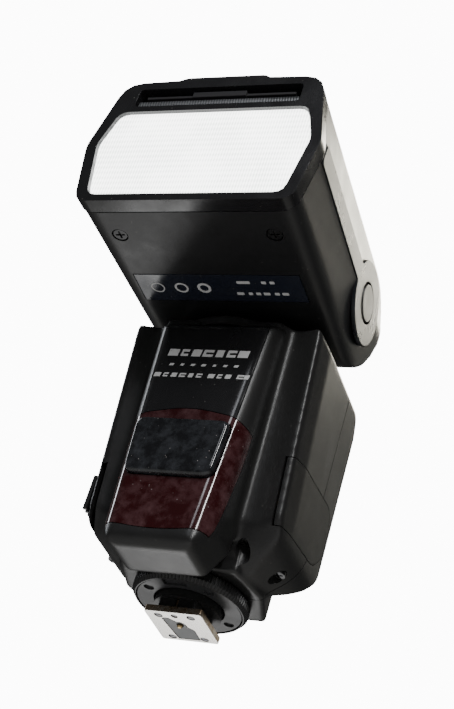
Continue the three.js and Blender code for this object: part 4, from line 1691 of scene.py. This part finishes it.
@dataclass
class Head:
    """The neck and the zoom head."""

    form: HeadForm = field(default_factory=HeadForm)
    pieces: list[Cast] = field(
        default_factory=lambda: [
            Cast("neck_turntable", SHELL, "neck", 0.3),
            Cast("neck_bracket", SHELL, "neck", 0.3),
            Cast("tilt_axle", STEEL, "neck", 0.2),
            Cast("head_bezel", GLOSS, "head", 0.5, 3),
            Cast("flash_window", LENS, "head", 0.3),
            Cast("wide_panel", CLEAR, "wide_panel", 0.2),
            Cast("bounce_card", CARD, "bounce_card", 0.2),
            Cast("label_plate", LABEL, "head", 0.1),
            Cast("reflector", MIRROR, "zoom_carriage", 0.2),
            Cast("flash_tube", CLEAR, "zoom_carriage", 0.3),
            Cast("zoom_carriage", GREY, "zoom_carriage", 0.2),
            Cast("zoom_screw", STEEL, "zoom_screw", 0.1),
            Cast("zoom_motor", STEEL, "head", 0.3),
            *[
                Cast(f"{name}_{side}", finish, "head", bevel)
                for side in ("left", "right")
                for name, finish, bevel in (
                    ("side_trim", TRIM, 0.35),
                    ("pivot_cap", SHELL, 0.3),
                    ("head_screw", BLACK_STEEL, 0.08),
                    ("guide_rod", STEEL, 0.1),
                )
            ],
        ]
    )

    def build(self) -> None:
        """Makes every piece."""
        for piece in self.pieces:
            piece.build()
        self.build_shells()

    def build_shells(self) -> None:
        """The lower and upper shells, parted along the sides."""
        blank = self.form.solid(0)
        flow(blank, 0.7, 12)
        halved(blank, (0, self.form.shell_front, 0), (0, -1, 0))
        cut_all(blank, self.form.tools())
        lower = copied(blank, "head_lower_shell_moulded")
        upper = copied(blank, "head_upper_shell_moulded")
        bpy.data.objects.remove(blank)
        parting = self.form.kink[1]
        halved(lower, (0, 0, parting - GAP / 2), (0, 0, 1))
        halved(upper, (0, 0, parting + GAP / 2), (0, 0, -1))
        dress(smooth_shaded(lower), LOWER, "head", ("head_lower_shell",))
        dress(smooth_shaded(upper), SHELL, "head", ("head_upper_shell",))


@dataclass
class Markings:
    """Plain raised marks in white ink: bars, dashes and rings that spell nothing."""

    relief: float = 0.07
    slant: float = 0.3
    ring_row: float = -45.0
    ring_radius: float = 2.3
    ring_hole: float = 1.9
    nose_rows: tuple[tuple[float, float, float, tuple[float, ...]], ...] = (
        (72.6, 2.6, 3.4, (-11.6, -7.7, -3.8, 0.1, 4.0, 7.9, 11.8)),
        (68.9, 0.8, 1.4, (-11, -7.4, -3.8, -0.2, 3.4, 7, 10.6)),
        (64.6, 1.5, 2.1, (-14.6, -11.8, -9, -6.2, -3.4, -0.6, 3.4, 6.2, 9, 13, 15)),
    )
    label_bars: tuple[tuple[float, float, float], ...] = (
        (8.6, -47.6, 4.4),
        (15.4, -47.6, 1.6),
        (18.2, -47.6, 1.6),
        (6.2, -42.2, 2.4),
        (9.6, -42.2, 1.4),
        (12.2, -42.2, 1.6),
        (15, -42.2, 2.2),
        (18.4, -42.2, 1.6),
        (21.2, -42.2, 2.2),
    )
    label_rings: tuple[float, ...] = (-21.4, -13.2, -5.4)

    def build(self) -> None:
        """Makes the marks of the nose panel and of the label."""
        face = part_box("nose_panel")[0].y / MM
        bars = []
        for z, height, width, places in self.nose_rows:
            for i, x in enumerate(places):
                wide = width * (1.0, 0.72, 0.88)[i % 3]
                left, right, upper = x - wide / 2, x + wide / 2, z + height
                shape = [(left, z), (right, z), (right + self.slant, upper), (left + self.slant, upper)]
                bars.append(slab("bar", shape, Axis.Y, face - self.relief, face + 0.1))
                if i % 2 and height > 1:
                    notch_low = (x - wide / 5, face - 1, z + height * 0.35)
                    notch_high = (x + wide, face + 1, z + height * 0.65)
                    cut_away(bars[-1], plate(notch_low, notch_high))
        nose = joined("nose_marks", bars)
        dress(nose, PRINT, "body")
        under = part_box("label_plate")[0].z / MM
        marks = []
        for x, y, width in self.label_bars:
            shape = rounded((x - width / 2, y - 0.9), (x + width / 2, y + 0.3), 0.2, 2)
            marks.append(slab("bar", shape, Axis.Z, under - self.relief, under + 0.1))
        for i, x in enumerate(self.label_rings):
            middle = (x, self.ring_row)
            ring = peg(Axis.Z, self.ring_radius, under - self.relief, under + 0.1, middle, 40)
            hole = self.ring_hole - 0.25 * i
            cut_away(ring, peg(Axis.Z, hole, under - 1, under + 1, middle, 40))
            marks.append(ring)
        dress(joined("label_marks", marks), PRINT, "head")


# ---- Stage ----


@dataclass(frozen=True)
class Softbox:
    """One soft light.

    Attributes:
        name: the light's name.
        place: its place in metres.
        size: its width and height in metres.
        power: its power in watts.
        colour: its colour.
    """

    name: str
    place: Point
    size: Pair
    power: float
    colour: Colour = (1.0, 1.0, 1.0)

    def build(self, target: Vector) -> None:
        """Adds the light, turned to a point.

        Args:
            target: the point that the light faces.
        """
        data = bpy.data.lights.new(self.name, "AREA")
        data.shape = "RECTANGLE"
        data.size, data.size_y = self.size
        data.energy = self.power
        data.color = self.colour
        lamp = bpy.data.objects.new(self.name, data)
        lamp.location = self.place
        lamp.visible_camera = False
        lamp.rotation_euler = (target - Vector(self.place)).to_track_quat("-Z", "Y").to_euler()
        bpy.context.scene.collection.objects.link(lamp)


@dataclass
class Studio:
    """The pale floor, the backdrop light, the soft lights and the camera."""

    target: Point = (-0.00252, -0.02491, 0.08338)
    azimuth: float = 27.97
    elevation: float = -33.14
    roll: float = 18.05
    distance: float = 0.49123
    lens: float = 78.4
    shift: Pair = (0.0069, 0.0031)
    floor_level: float = -0.7
    floor_size: float = 6.0
    lights: tuple[Softbox, ...] = (
        Softbox("backdrop_panel", (0.0, 1.1, 1.15), (0.7, 0.35), 9, (1.0, 0.95, 0.8)),
        Softbox("back_right_box", (0.42, 0.95, 0.62), (0.22, 0.8), 0.4, (1.0, 0.98, 0.86)),
        Softbox("right_strip", (0.62, -0.95, 0.75), (0.08, 0.9), 12),
        Softbox("left_box", (-1.0, 0.1, 0.62), (0.16, 0.9), 4, (0.92, 0.95, 1.0)),
        Softbox("shoulder_card", (-0.08, -1.0, 0.76), (0.22, 0.5), 2.2, (0.92, 0.94, 1.0)),
        Softbox("foot_card", (-0.175, 0.32, -0.24), (0.2, 0.12), 0.3),
    )

    def build(self) -> None:
        """Makes the whole stage."""
        self.build_floor()
        self.build_world()
        for light in self.lights:
            light.build(Vector(self.target))
        self.build_camera()

    def build_floor(self) -> None:
        """A pale plain floor, well below the foot."""
        deselect()
        bpy.ops.mesh.primitive_plane_add(size=self.floor_size, location=(0, 0, self.floor_level))
        floor = bpy.context.active_object
        floor.name = "studio_floor"
        material = bpy.data.materials.new("pale_floor")
        material.use_nodes = True
        graph = Graph(material.node_tree)
        shader = material.node_tree.nodes["Principled BSDF"]
        cloud = graph.noise(graph.place(), 0.004, 2.0)
        pale = graph.mix(cloud, opaque((0.86, 0.86, 0.86)), opaque((0.9, 0.9, 0.9)))
        graph.feed(shader.inputs["Base Color"], pale)
        shader.inputs["Roughness"].default_value = 0.8
        floor.data.materials.append(material)

    def build_world(self) -> None:
        """White behind the object, dimmer where it lights it."""
        world = bpy.data.worlds.new("studio_world")
        bpy.context.scene.world = world
        world.use_nodes = True
        graph = Graph(world.node_tree)
        back = world.node_tree.nodes["Background"]
        seen = graph.node("ShaderNodeLightPath").outputs["Is Camera Ray"]
        back.inputs["Color"].default_value = (1, 1, 1, 1)
        graph.feed(back.inputs["Strength"], graph.span(seen, 0.0, 1.0, 0.07, 12.0))

    def build_camera(self) -> None:
        """The camera, at the object's three-quarter view from below."""
        az, el, roll = (math.radians(a) for a in (self.azimuth, self.elevation, self.roll))
        back = Vector((math.sin(az) * math.cos(el), -math.cos(az) * math.cos(el), math.sin(el)))
        right = Vector((math.cos(az), math.sin(az), 0))
        up = back.cross(right)
        across = right * math.cos(roll) + up * math.sin(roll)
        upward = up * math.cos(roll) - right * math.sin(roll)
        data = bpy.data.cameras.new("studio_camera")
        data.lens = self.lens
        data.sensor_width = 36
        data.shift_x, data.shift_y = self.shift
        data.clip_start = 0.01
        camera = bpy.data.objects.new("studio_camera", data)
        turn = Matrix((across, upward, back)).transposed().to_4x4()
        camera.matrix_world = Matrix.Translation(Vector(self.target) + back * self.distance) @ turn
        bpy.context.scene.collection.objects.link(camera)
        bpy.context.scene.camera = camera


def main() -> None:
    """Builds the flash and its stage."""
    logging.basicConfig(level=logging.INFO, format="%(name)s: %(message)s")
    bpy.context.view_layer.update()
    for part in (Foot(), Body(), Controls(), Head(), Markings()):
        part.build()
        LOG.info("built %s", type(part).__name__)
    Studio().build()
    deselect()


if __name__ == "__main__":
    main()
